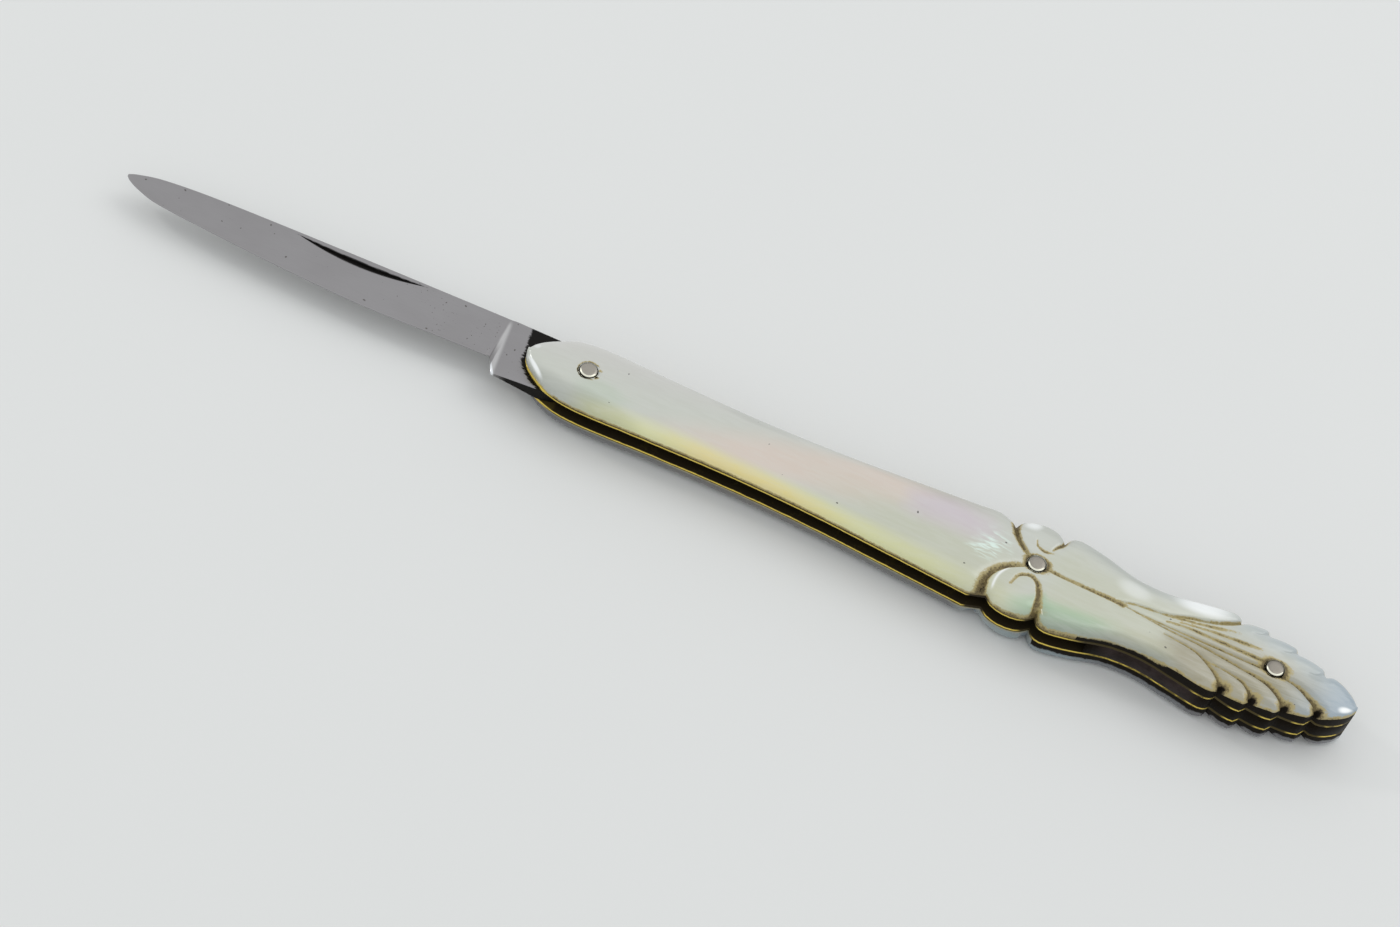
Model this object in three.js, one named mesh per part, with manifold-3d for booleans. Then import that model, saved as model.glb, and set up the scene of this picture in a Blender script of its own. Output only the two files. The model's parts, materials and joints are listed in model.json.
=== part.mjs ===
// Quill knife: a small folding penknife with carved pearl scales, shown open.
// Millimetres, +Z up. The knife lies on the flat crown of its lower scale, with the blade
// towards -X, the butt of the handle towards +X, the back spring along +Y and the open
// slot that takes the blade along -Y. The sub-parts are drawn round the pivot pin, which
// stands at x = 0, y = 0, and the group then puts the origin under the middle of the knife.

import * as THREE from 'three';
import { mergeVertices } from 'three/addons/utils/BufferGeometryUtils.js';
import Module from 'manifold-3d';

const wasm = await Module();
wasm.setup();

// Lengths along the knife, from the pivot pin
const pivotToTip = 48.1;
const pivotToFront = 6.05;
const pivotToCenterPin = 44.7;
const pivotToEndPin = 68;
const pivotToButt = 76.1;
const pivotToScroll = 41.6;
const pivotToWaist = 56.8;
const pivotToFan = 63.95;
const rearPinOffset = 0.35;

// Half widths of the handle
const frontHalf = 0.3;
const pivotHalf = 3.68;
const gripHalf = 3.36;
const swellHalf = 4.78;
const scrollNotchHalf = 4.2;
const shoulderHalf = 5.15;
const waistHalf = 3.62;
const fanHalf = 4.65;
const fanNotchHalf = 4.1;
const buttHalf = 0.35;

// Scroll lobe and fan of the carved end
const scrollLength = 4.8;
const scrollBulge = 1.0;
const fanLobes = 4;
const fanLobeLength = 2.92;
const slotSideBulge = 0.56;
const springSideBulge = 0.4;
const buttBulge = 0.72;
const evenLean = 0.5;
const fanLean = 0.75;
const fanTaper = 2.0;

// Layers of the handle
const scaleThickness = 1.55;
const scaleWall = 0.45;
const scaleShoulder = 1.5;
const scaleEndDrop = 0.4;
const linerThickness = 0.32;
const slotWidth = 1.5;

// Carved grooves of the scales
const grooveDepth = 0.3;
const grooveWidth = 0.5;
const grooveStart = 0.3;
const chevronWidth = 0.8;

// The ribs of the fan: points that each one passes, measured from the front of the fan and
// from the middle of the handle, before it bends into its notch
const slotRibs = [
  [[-6.2, 1.1], [-3.85, 1.4], [-2.5, 1.8], [-0.95, 2.95]],
  [[-2.35, 2.0], [-0.8, 2.1], [0.75, 2.3], [1.95, 2.75]],
  [[-9.3, 0.2], [-6.25, 0.5], [-2.95, 0.66], [0.95, 1.15], [2.95, 1.45], [4.3, 1.95]],
  [[-11.3, -0.05], [-8.4, 0.17], [-2.75, 0.2], [1.85, 0.2], [5.05, 0.25], [7.6, 1.25]],
];
const springRibs = [
  [[-11.3, 0.16], [-9.5, 0.72], [-6.75, 1.1], [-4.65, 1.85], [-2.95, 2.35], [-1.25, 3.1]],
  [[-6.65, 1.0], [-5.35, 1.26], [-3.15, 1.72], [0, 2.5]],
  [[-5.25, 0.9], [-2.75, 1.3], [0.25, 1.6], [2.3, 1.74]],
  [[-6.45, 0.35], [-4.35, 0.62], [-1.25, 0.66], [3.2, 0.63]],
];

// Pins
const shankRadius = 0.6;
const headRadius = 0.83;
const headDepth = 0.35;
const headProud = 0.12;
const pinFit = 0.05;

// Blade
const tangGap = 0.05;
const tipThickness = 0.6;
const edgeThickness = 0.12;
const tipHeight = 1.4;
const spineHeight = 3.4;
const bellyDepth = 1.72;
const heelDepth = 1.22;
const plungeX = -8.95;
const plungeLength = 0.6;
const kickX = -8.2;
const kickDepth = 3.35;
const nickX = -24.4;
const nickLength = 13;
const nickWidth = 0.75;
const nickDepth = 0.3;
const nickBelowSpine = 0.45;

// Tang and back spring
const closeAngle = 176;
const tangRadius = 2.12;
const springSeatGap = 0.06;
const springEndX = -2.5;
const springEndGap = 0.12;
const springNoseLength = 3.5;
const kickGap = 0.15;
const springPinWall = 0.85;
const blockStart = 51.6;

// Heights of the layers
const lowerLinerZ = scaleThickness;
const slotZ = lowerLinerZ + linerThickness;
const upperLinerZ = slotZ + slotWidth;
const upperScaleZ = upperLinerZ + linerThickness;
const handleTop = upperScaleZ + scaleThickness;
const slotMiddleZ = slotZ + slotWidth / 2;
const tangThickness = slotWidth - 2 * tangGap;

const pearl = { color: 0xc9ccc6, roughness: 0.25, metalness: 0 };
const brass = { color: 0xb89a48, roughness: 0.35, metalness: 1 };
const bladeSteel = { color: 0x8d8b8c, roughness: 0.3, metalness: 1 };
const springSteel = { color: 0x4a4442, roughness: 0.4, metalness: 1 };
const nickelSilver = { color: 0xbab3aa, roughness: 0.35, metalness: 1 };

// Solids and meshes

function toSolid(geometry) {
  const bare = geometry.clone();
  bare.deleteAttribute('normal');
  bare.deleteAttribute('uv');
  const merged = mergeVertices(bare, 1e-5);
  return new wasm.Manifold(new wasm.Mesh({
    numProp: 3,
    vertProperties: new Float32Array(merged.attributes.position.array),
    triVerts: new Uint32Array(merged.index.array),
  }));
}

function toGeometry(solid) {
  const { vertProperties, triVerts } = solid.getMesh();
  const geometry = new THREE.BufferGeometry();
  geometry.setAttribute('position', new THREE.BufferAttribute(vertProperties, 3));
  geometry.setIndex(new THREE.BufferAttribute(triVerts, 1));
  geometry.computeVertexNormals();
  return geometry;
}

function part(name, solid, finish) {
  const mesh = new THREE.Mesh(toGeometry(solid), new THREE.MeshStandardMaterial(finish));
  mesh.name = name;
  return mesh;
}

// A closed skin over rings of points that follow each other, with flat ends
function loft(rings) {
  const count = rings[0].length;
  const positions = rings.flat().flatMap((p) => [p.x, p.y, p.z]);
  const faces = [];
  for (let r = 0; r < rings.length - 1; r++) {
    for (let i = 0; i < count; i++) {
      const a = r * count + i;
      const b = r * count + (i + 1) % count;
      faces.push(a, b, b + count, a, b + count, a + count);
    }
  }
  const last = (rings.length - 1) * count;
  for (let i = 1; i < count - 1; i++) {
    faces.push(0, i + 1, i);
    faces.push(last, last + i, last + i + 1);
  }
  const geometry = new THREE.BufferGeometry();
  geometry.setAttribute('position', new THREE.Float32BufferAttribute(positions, 3));
  geometry.setIndex(signedVolume(positions, faces) > 0 ? faces : faces.reverse());
  return toSolid(geometry);
}

function signedVolume(positions, faces) {
  const corner = (i) => new THREE.Vector3().fromArray(positions, 3 * i);
  let sum = 0;
  for (let f = 0; f < faces.length; f += 3) {
    sum += corner(faces[f]).dot(corner(faces[f + 1]).cross(corner(faces[f + 2])));
  }
  return sum;
}

// A flat plate with its lower face at height z
function plate(points, z, thickness) {
  const geometry = new THREE.ExtrudeGeometry(new THREE.Shape(points), {
    depth: thickness,
    bevelEnabled: false,
  });
  geometry.translate(0, 0, z);
  return toSolid(geometry);
}

function rod(center, radius, z, height) {
  const geometry = new THREE.CylinderGeometry(radius, radius, height, 24);
  geometry.rotateX(Math.PI / 2);
  geometry.translate(center.x, center.y, z + height / 2);
  return toSolid(geometry);
}

// Outline of the handle, from front to butt: the half width of one side at each place

// A lobe between two notches; its lean says how far along it the bulge is fullest
function lobe(from, to, bulge, lean, steps) {
  const roundness = 1.4;
  const shape = (t) => Math.pow(t, roundness * lean) * Math.pow(1 - t, roundness * (1 - lean));
  const points = [];
  for (let i = 1; i <= steps; i++) {
    const t = i / steps;
    const swell = bulge * shape(t) / shape(lean);
    points.push(new THREE.Vector2().lerpVectors(from, to, t).add(new THREE.Vector2(0, swell)));
  }
  return points;
}

function gripSide() {
  const grip = [
    new THREE.Vector2(-pivotToFront, frontHalf),
    new THREE.Vector2(-0.87 * pivotToFront, 0.35 * pivotHalf),
    new THREE.Vector2(-0.6 * pivotToFront, 0.71 * pivotHalf),
    new THREE.Vector2(-0.27 * pivotToFront, 0.93 * pivotHalf),
    new THREE.Vector2(1.5, pivotHalf),
    new THREE.Vector2(8, (pivotHalf + gripHalf) / 2 - 0.04),
    new THREE.Vector2(0.4 * pivotToScroll, gripHalf),
    new THREE.Vector2(0.6 * pivotToScroll, gripHalf + 0.2 * (swellHalf - gripHalf)),
    new THREE.Vector2(0.8 * pivotToScroll, gripHalf + 0.64 * (swellHalf - gripHalf)),
    new THREE.Vector2(pivotToScroll - 1.7, swellHalf),
  ];
  return new THREE.SplineCurve(grip).getPoints(24);
}

function waistSide(from, to) {
  const waist = [
    from,
    new THREE.Vector2(from.x + 0.5, from.y + 0.75 * (shoulderHalf - from.y)),
    new THREE.Vector2(from.x + 1.6, shoulderHalf),
    new THREE.Vector2(from.x + 4.2, waistHalf + 0.65 * (shoulderHalf - waistHalf)),
    new THREE.Vector2(pivotToWaist - 3.2, waistHalf + 0.12),
    new THREE.Vector2(pivotToWaist, waistHalf),
    new THREE.Vector2(to.x - 4.2, waistHalf + 0.5 * (fanHalf - waistHalf)),
    new THREE.Vector2(to.x - 1.3, fanHalf),
    new THREE.Vector2(to.x - 0.35, 0.7 * fanHalf + 0.3 * to.y),
    to,
  ];
  return new THREE.SplineCurve(waist).getPoints(20).slice(1);
}

// The notch in front of each fan lobe; the last one is the butt itself
function fanNotch(index) {
  const x = index < fanLobes ? pivotToFan + index * fanLobeLength : pivotToButt;
  const share = (x - pivotToFan) / (pivotToButt - pivotToFan);
  const half = buttHalf + (fanNotchHalf - buttHalf) * (1 - Math.pow(share, fanTaper));
  return new THREE.Vector2(x, half);
}

function handleSide(fanBulge) {
  const scrollFront = new THREE.Vector2(pivotToScroll, scrollNotchHalf);
  const scrollBack = new THREE.Vector2(pivotToScroll + scrollLength, scrollNotchHalf);
  const side = [...gripSide(), scrollFront];
  side.push(...lobe(scrollFront, scrollBack, scrollBulge, evenLean, 7));
  side.push(...waistSide(scrollBack, fanNotch(0)));
  for (let i = 0; i < fanLobes - 1; i++) {
    side.push(...lobe(fanNotch(i), fanNotch(i + 1), fanBulge, fanLean, 6));
  }
  side.push(...lobe(fanNotch(fanLobes - 1), fanNotch(fanLobes), buttBulge, evenLean, 7));
  return side;
}

// Both sides share their places along the knife, so that one list of stations serves both
const springSide = handleSide(springSideBulge);
const slotSide = handleSide(slotSideBulge);
const stations = springSide.map((point, i) => ({ x: point.x, spring: point.y, slot: slotSide[i].y }));

function halfWidthAt(x, y) {
  const side = y < 0 ? slotSide : springSide;
  const found = side.findIndex((point) => point.x >= x);
  const next = found < 0 ? side.length - 1 : Math.max(1, found);
  const [a, b] = [side[next - 1], side[next]];
  return Math.max(buttHalf, THREE.MathUtils.mapLinear(x, a.x, b.x, a.y, b.y));
}

function handleOutline() {
  const back = springSide.map((point) => point.clone());
  const belly = slotSide.map((point) => new THREE.Vector2(point.x, -point.y)).reverse();
  return [...back, ...belly];
}

// Pin places
const pivotPlace = new THREE.Vector2(0, 0);
const centerPlace = new THREE.Vector2(pivotToCenterPin, rearPinOffset);
const endPlace = new THREE.Vector2(pivotToEndPin, rearPinOffset);
const pinPlaces = [pivotPlace, centerPlace, endPlace];

// Scales: a flat crown, a round shoulder and a low wall against the liner

function crownAt(x) {
  const front = THREE.MathUtils.smoothstep(-x, 0.35 * pivotToFront, pivotToFront);
  const butt = THREE.MathUtils.smoothstep(x, pivotToEndPin + 1, pivotToButt);
  return scaleThickness - scaleEndDrop * Math.max(front, butt);
}

function shoulderAt(half) {
  return Math.min(scaleShoulder, 0.8 * half);
}

function scaleHeightAt(x, y) {
  const half = halfWidthAt(x, y);
  const shoulder = shoulderAt(half);
  const over = THREE.MathUtils.clamp((Math.abs(y) - half + shoulder) / shoulder, 0, 1);
  return scaleWall + (crownAt(x) - scaleWall) * Math.sqrt(1 - over * over);
}

function shoulderArc(half, rise) {
  const shoulder = shoulderAt(half);
  const steps = 5;
  const arc = [[half, 0]];
  for (let i = 0; i <= steps; i++) {
    const turn = (i / steps) * Math.PI / 2;
    arc.push([half - shoulder + shoulder * Math.cos(turn), scaleWall + rise * Math.sin(turn)]);
  }
  return arc;
}

function scaleRing({ x, spring, slot }, baseZ, face) {
  const rise = crownAt(x) - scaleWall;
  const back = shoulderArc(spring, rise);
  const belly = shoulderArc(slot, rise).map(([y, z]) => [-y, z]).reverse();
  return [...back, ...belly].map(([y, z]) => new THREE.Vector3(x, y, baseZ + face * z));
}

// A long cutter of V section that follows the crown of a scale and widens from its start
function grooveCutter(line, start, width, baseZ, face) {
  const overlap = 3;
  const rings = line.map((point, i) => {
    const before = line[Math.max(0, i - 1)];
    const after = line[Math.min(line.length - 1, i + 1)];
    const along = new THREE.Vector2().subVectors(after, before).normalize();
    const share = THREE.MathUtils.lerp(start, 1, i / (line.length - 1));
    const reach = overlap * share * width / 2;
    const across = new THREE.Vector2(-along.y, along.x).multiplyScalar(reach);
    const surface = scaleHeightAt(point.x, point.y);
    const depth = grooveDepth * share;
    const lip = baseZ + face * (surface + (overlap - 1) * depth);
    return [
      new THREE.Vector3(point.x + across.x, point.y + across.y, lip),
      new THREE.Vector3(point.x, point.y, baseZ + face * (surface - depth)),
      new THREE.Vector3(point.x - across.x, point.y - across.y, lip),
    ];
  });
  return loft(rings);
}

function curveThrough(points, steps) {
  const curve = new THREE.SplineCurve(points.map(([x, y]) => new THREE.Vector2(x, y)));
  return curve.getPoints(steps);
}

// The chevron where the plain grip meets the carved end, from the middle pin to each edge
function chevronLines() {
  const x = pivotToScroll;
  const y = rearPinOffset;
  return [
    curveThrough([[x + 2.1, y + 0.6], [x + 1.2, y + 1.4], [x + 0.4, 2.85], [x + 0.1, 6]], 7),
    curveThrough([[x + 1.9, y - 0.8], [x + 0.4, -1.35], [x - 0.6, -2.75], [x - 0.8, -3.95],
      [x, -6]], 8),
  ];
}

// The curls inside the scroll lobes: a full hook on the slot side, a short one on the other
function curlLines() {
  const x = pivotToScroll;
  return [
    curveThrough([[x + 1.6, -2.85], [x + 2.0, -1.75], [x + 2.9, -1.25], [x + 3.7, -1.75],
      [x + 4.3, -2.95], [x + 4.7, -6]], 9),
    curveThrough([[x + 2.3, 2.85], [x + 2.7, 2.2], [x + 3.4, 1.95], [x + 4.1, 2.15]], 5),
    curveThrough([[x + 3.9, 2.5], [x + 4.5, 3.3], [x + 5.1, 6]], 4),
  ];
}

// The stem from the middle pin to the roots of the fan's ribs
function stemLine() {
  return curveThrough([[pivotToWaist - 2, 0], [pivotToWaist - 5, 0.05],
    [pivotToCenterPin + 2.3, 0.15], [pivotToCenterPin + 0.9, rearPinOffset]], 5);
}

function ribPoints(points) {
  return points.map(([x, y]) => [pivotToFan + x, y]);
}

// A rib on the slot side runs down to the notch between two lobes
function slotRib(index) {
  const notch = fanNotch(index);
  const points = [...ribPoints(slotRibs[index]), [notch.x - 0.1, notch.y - 0.1],
    [notch.x + 0.2, notch.y + 1.2]];
  return curveThrough(points.map(([x, y]) => [x, -y]), 2 * points.length);
}

// On the spring side the first rib reaches its notch and the others end short of the edge
function springRib(index) {
  const notch = fanNotch(0);
  const points = ribPoints(springRibs[index]);
  if (index === 0) points.push([notch.x - 0.1, notch.y - 0.15], [notch.x + 0.15, notch.y + 1]);
  return curveThrough(points, 2 * points.length - 2);
}

function carvedScale(baseZ, face) {
  let scale = loft(stations.map((station) => scaleRing(station, baseZ, face)));
  const cut = (line, start, width) => {
    scale = scale.subtract(grooveCutter(line, start, width, baseZ, face));
  };
  cut(stemLine(), grooveStart, grooveWidth);
  chevronLines().forEach((line) => cut(line, 0.6, chevronWidth));
  curlLines().forEach((line) => cut(line, grooveStart, grooveWidth));
  for (let i = 0; i < fanLobes; i++) {
    cut(slotRib(i), grooveStart, grooveWidth);
    cut(springRib(i), grooveStart, grooveWidth);
  }
  for (const place of pinPlaces) {
    scale = scale.subtract(pinBore(place, shankRadius + pinFit, baseZ, face, -1));
    scale = scale.subtract(pinBore(place, headRadius + pinFit, baseZ, face,
      scaleThickness - headDepth - pinFit));
  }
  return scale;
}

// A round cutter that starts at a height above the liner and leaves through the crown
function pinBore(place, radius, baseZ, face, start) {
  const height = scaleThickness + 1 - start;
  return rod(place, radius, face > 0 ? baseZ + start : baseZ - start - height, height);
}

function liner(z) {
  let sheet = plate(handleOutline(), z, linerThickness);
  for (const place of pinPlaces) {
    sheet = sheet.subtract(rod(place, shankRadius + pinFit, z - 1, linerThickness + 2));
  }
  return sheet;
}

// Pins: a straight shank with a low head sunk in each scale, flush below and proud above
function pin(place) {
  const profile = [
    [0, 0],
    [headRadius, 0],
    [headRadius, headDepth],
    [shankRadius, headDepth],
    [shankRadius, handleTop - headDepth],
    [headRadius, handleTop - headDepth],
    [headRadius, handleTop],
    [0.8 * headRadius, handleTop + 0.65 * headProud],
    [0.4 * headRadius, handleTop + headProud],
    [0, handleTop + headProud],
  ];
  const geometry = new THREE.LatheGeometry(profile.map(([r, z]) => new THREE.Vector2(r, z)), 20);
  geometry.rotateX(Math.PI / 2);
  geometry.translate(place.x, place.y, 0);
  return toSolid(geometry);
}

// Blade

// Spine, edge and spine thickness of the blade at a distance from the pivot
const spineLine = new THREE.SplineCurve([
  new THREE.Vector2(-pivotToTip, tipHeight),
  new THREE.Vector2(-pivotToTip + 0.8, tipHeight + 0.36),
  new THREE.Vector2(-pivotToTip + 3.0, tipHeight + 0.86),
  new THREE.Vector2(-pivotToTip + 7.5, tipHeight + 1.29),
  new THREE.Vector2(-pivotToTip + 15, spineHeight - 0.45),
  new THREE.Vector2(-22, spineHeight - 0.2),
  new THREE.Vector2(plungeX, spineHeight),
]);
const edgeLine = new THREE.SplineCurve([
  new THREE.Vector2(-pivotToTip, tipHeight - 0.25),
  new THREE.Vector2(-pivotToTip + 1.8, tipHeight - 1.25),
  new THREE.Vector2(-pivotToTip + 4.3, tipHeight - 1.91),
  new THREE.Vector2(-pivotToTip + 11, -0.62 * bellyDepth),
  new THREE.Vector2(-30, -0.87 * bellyDepth),
  new THREE.Vector2(-22, -bellyDepth),
  new THREE.Vector2(-15, -bellyDepth + 0.3),
  new THREE.Vector2(plungeX - plungeLength, -heelDepth),
]);

// Height of a line at x, by halving between its ends
function heightOn(line, x) {
  let [low, high] = [0, 1];
  for (let i = 0; i < 30; i++) {
    const middle = (low + high) / 2;
    if (line.getPoint(middle).x < x) low = middle;
    else high = middle;
  }
  return line.getPoint(low).y;
}

function bladeRing(x, spine, edge, spineHalf, edgeHalf) {
  const z = slotMiddleZ;
  const middle = (spine + edge) / 2;
  const middleHalf = 0.52 * spineHalf + 0.4 * edgeHalf;
  return [
    new THREE.Vector3(x, spine, z + spineHalf),
    new THREE.Vector3(x, middle, z + Math.max(middleHalf, edgeHalf)),
    new THREE.Vector3(x, edge, z + edgeHalf),
    new THREE.Vector3(x, edge, z - edgeHalf),
    new THREE.Vector3(x, middle, z - Math.max(middleHalf, edgeHalf)),
    new THREE.Vector3(x, spine, z - spineHalf),
  ];
}

const groundLength = pivotToTip + plungeX - plungeLength;

function spineHalfAt(x) {
  return THREE.MathUtils.lerp(tipThickness, tangThickness, (x + pivotToTip) / groundLength) / 2;
}

function groundBlade() {
  const steps = 22;
  const rings = [];
  for (let i = 0; i <= steps; i++) {
    const x = -pivotToTip + Math.pow(i / steps, 1.6) * groundLength;
    rings.push(bladeRing(x, heightOn(spineLine, x), heightOn(edgeLine, x), spineHalfAt(x),
      edgeThickness / 2));
  }
  const full = tangThickness / 2;
  const sunk = 0.4;
  rings.push(bladeRing(plungeX, spineHeight, -heelDepth - 0.1, full, full));
  rings.push(bladeRing(plungeX + sunk, spineHeight, -heelDepth - 0.1, full, full));
  return loft(rings);
}

function arcPoints(center, radius, fromDegrees, toDegrees, steps) {
  const points = [];
  for (let i = 0; i <= steps; i++) {
    const turn = THREE.MathUtils.degToRad(fromDegrees + (toDegrees - fromDegrees) * i / steps);
    const x = center.x + radius * Math.cos(turn);
    points.push(new THREE.Vector2(x, center.y + radius * Math.sin(turn)));
  }
  return points;
}

// The lower side of the tang: choil, kick and the slope back to the round
function kickSide() {
  const drop = kickDepth - heelDepth;
  return [
    new THREE.Vector2(-0.6, -tangRadius + 0.02),
    new THREE.Vector2(-2.0, -tangRadius - 0.36 * (kickDepth - tangRadius)),
    new THREE.Vector2(-3.35, -tangRadius - 0.7 * (kickDepth - tangRadius)),
    new THREE.Vector2(-5.3, -kickDepth + 0.25),
    new THREE.Vector2(kickX + 0.1, -kickDepth),
    new THREE.Vector2(kickX - 0.05, -kickDepth + 0.05 * drop),
    new THREE.Vector2(plungeX, -heelDepth - 0.25 * drop),
  ];
}

function tang() {
  const shoulderX = springEndX - springEndGap;
  const outline = [
    new THREE.Vector2(plungeX, spineHeight),
    new THREE.Vector2(shoulderX, spineHeight),
    new THREE.Vector2(shoulderX, tangRadius),
    ...arcPoints(pivotPlace, tangRadius, 90, -100, 16),
    ...kickSide(),
  ];
  const body = plate(outline, slotZ + tangGap, tangThickness);
  return body.subtract(rod(pivotPlace, shankRadius + pinFit, slotZ, slotWidth));
}

// The thumbnail groove: steep at its upper side, sloping out below
function nickCutter() {
  const steps = 12;
  const above = 0.6;
  const lean = (1 - 0.5 * edgeThickness / tangThickness) * 0.5 * nickBelowSpine / spineHeight;
  const rings = [];
  for (let i = 0; i <= steps; i++) {
    const t = 2 * i / steps - 1;
    const x = nickX + t * nickLength / 2;
    const deep = Math.max(0.02, 1 - t * t);
    const top = heightOn(spineLine, x) - nickBelowSpine;
    const surface = slotMiddleZ + spineHalfAt(x) * (1 - lean);
    rings.push([
      new THREE.Vector3(x, top, surface + above),
      new THREE.Vector3(x, top - 0.12 * deep, surface - nickDepth * deep),
      new THREE.Vector3(x, top - nickWidth * deep - above, surface + above),
    ]);
  }
  return loft(rings);
}

function blade() {
  return groundBlade().add(tang()).subtract(nickCutter());
}

// Back spring: a nose over the tang, a thin arm, the eye of the middle pin and a solid block

function turned(point, degrees) {
  return point.clone().rotateAround(pivotPlace, THREE.MathUtils.degToRad(degrees));
}

function backSpring() {
  const seat = tangRadius + springSeatGap;
  const closedKick = kickSide().map((p) => turned(p, closeAngle));
  const relief = Math.max(...closedKick.map((p) => p.y)) + kickGap;
  const reliefEnd = turned(new THREE.Vector2(kickX, -kickDepth), closeAngle).x + 2;
  const noseEnd = springEndX + springNoseLength;
  const eye = shankRadius + springPinWall;
  const inner = [
    new THREE.Vector2(blockStart, -halfWidthAt(blockStart, -1)),
    new THREE.Vector2(blockStart, centerPlace.y - eye - 0.5),
    new THREE.Vector2(centerPlace.x + 1, centerPlace.y - eye - 0.1),
    new THREE.Vector2(centerPlace.x - 1, centerPlace.y - eye),
    new THREE.Vector2(centerPlace.x - 7, centerPlace.y + 0.2),
    new THREE.Vector2((centerPlace.x + reliefEnd) / 2, (centerPlace.y + relief) / 2 + 0.3),
    new THREE.Vector2(reliefEnd, relief),
    new THREE.Vector2(noseEnd + 1.4, relief),
    new THREE.Vector2(noseEnd, seat),
    new THREE.Vector2(springEndX, seat),
  ];
  const back = springSide.filter((point) => point.x > springEndX).map((point) => point.clone());
  const belly = slotSide.filter((point) => point.x > blockStart)
    .map((point) => new THREE.Vector2(point.x, -point.y)).reverse();
  const end = new THREE.Vector2(springEndX, halfWidthAt(springEndX, 1));
  let spring = plate([end, ...back, ...belly, ...inner], slotZ, slotWidth);
  for (const place of [centerPlace, endPlace]) {
    spring = spring.subtract(rod(place, shankRadius + pinFit, slotZ - 1, slotWidth + 2));
  }
  return spring;
}

const knife = new THREE.Group();
knife.add(part('top_scale', carvedScale(upperScaleZ, 1), pearl));
knife.add(part('bottom_scale', carvedScale(lowerLinerZ, -1), pearl));
knife.add(part('top_liner', liner(upperLinerZ), brass));
knife.add(part('bottom_liner', liner(lowerLinerZ), brass));
knife.add(part('back_spring', backSpring(), springSteel));
knife.add(part('blade', blade(), bladeSteel));
knife.add(part('pivot_pin', pin(pivotPlace), nickelSilver));
knife.add(part('center_pin', pin(centerPlace), nickelSilver));
knife.add(part('end_pin', pin(endPlace), nickelSilver));
knife.position.x = (pivotToTip - pivotToButt) / 2;

export default knife;
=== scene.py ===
"""Quill knife: pearl scales, brass liners, steel spring and blade, dressed round the fixed frame.

Shapes are worked out in millimetres from the pivot pin, +X towards the butt, +Y towards the
back spring and +Z up, and placed in the frame in metres.
"""

import json
import math
from dataclasses import dataclass

import bmesh
import bpy
import numpy as np
from mathutils import Matrix, Vector


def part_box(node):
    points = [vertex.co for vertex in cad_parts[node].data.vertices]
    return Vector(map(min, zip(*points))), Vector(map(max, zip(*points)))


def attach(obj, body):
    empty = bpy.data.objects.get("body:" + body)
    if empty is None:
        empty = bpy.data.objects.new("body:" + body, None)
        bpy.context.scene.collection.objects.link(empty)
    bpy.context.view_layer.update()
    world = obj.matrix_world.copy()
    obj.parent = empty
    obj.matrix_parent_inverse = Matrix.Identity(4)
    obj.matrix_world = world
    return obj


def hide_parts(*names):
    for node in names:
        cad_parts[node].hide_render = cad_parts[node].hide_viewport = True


bl_info = {
    "name": "Quill Knife",
    "version": (1, 0, 0),
    "blender": (4, 5, 0),
    "location": "View3D > Sidebar > Quill Knife",
    "description": "Builds a pearl-handled quill knife with carved scales and a folding blade",
    "category": "Object",
}

MM = 0.001

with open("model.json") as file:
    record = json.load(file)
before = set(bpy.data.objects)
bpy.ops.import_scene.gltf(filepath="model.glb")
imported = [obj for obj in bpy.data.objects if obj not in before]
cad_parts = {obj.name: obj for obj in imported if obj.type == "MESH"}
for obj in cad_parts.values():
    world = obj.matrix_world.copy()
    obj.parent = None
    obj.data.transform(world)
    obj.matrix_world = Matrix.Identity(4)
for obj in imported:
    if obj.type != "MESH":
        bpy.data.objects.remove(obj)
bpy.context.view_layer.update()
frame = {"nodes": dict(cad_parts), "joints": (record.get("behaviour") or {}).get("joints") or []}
PIVOT = Vector(frame["joints"][0]["pos_m"])
HANDLE = "handle"
BLADE = "blade"


# Places taken from the frame


def node_box(node):
    """A node's lowest and highest corners in millimetres from the pivot pin."""
    low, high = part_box(node)
    return to_local(low), to_local(high)


def to_local(point):
    return np.array([(point[0] - PIVOT.x) / MM, (point[1] - PIVOT.y) / MM, point[2] / MM])


def node_points(node):
    """All corners of a node in millimetres from the pivot pin."""
    return np.array([to_local(vertex.co) for vertex in frame["nodes"][node].data.vertices])


PINS = {name: sum(node_box(name)) / 2 for name in ("pivot_pin", "center_pin", "end_pin")}
CENTER_PIN_X = PINS["center_pin"][0]
HEAD_RADIUS = (node_box("pivot_pin")[1][0] - node_box("pivot_pin")[0][0]) / 2
HANDLE_LOW, HANDLE_HIGH = node_box("top_liner")
FRONT_X, BUTT_X = HANDLE_LOW[0], HANDLE_HIGH[0]
LOWER_FACE = node_box("bottom_scale")[1][2]
UPPER_FACE = node_box("top_scale")[0][2]
SCALE_TOP = node_box("top_scale")[1][2]
BLADE_LOW, BLADE_HIGH = node_box("blade")
TIP_X, TANG_X = BLADE_LOW[0], BLADE_HIGH[0]
BLADE_MIDDLE = (BLADE_LOW[2] + BLADE_HIGH[2]) / 2
TANG_THICKNESS = BLADE_HIGH[2] - BLADE_LOW[2]


# Curves


def curve(points, steps=40):
    """Points along a smooth curve through the given ones."""
    p = np.array(points, float)
    p = np.vstack([2 * p[0] - p[1], p, 2 * p[-1] - p[-2]])
    spans = len(p) - 3
    out = []
    for t in np.linspace(0, spans, steps + 1):
        i = min(int(t), spans - 1)
        u = t - i
        a, b, c, d = p[i : i + 4]
        bend = 2 * a - 5 * b + 4 * c - d
        out.append(b + 0.5 * u * (c - a + u * (bend + u * (3 * (b - c) + d - a))))
    return np.array(out)


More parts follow.
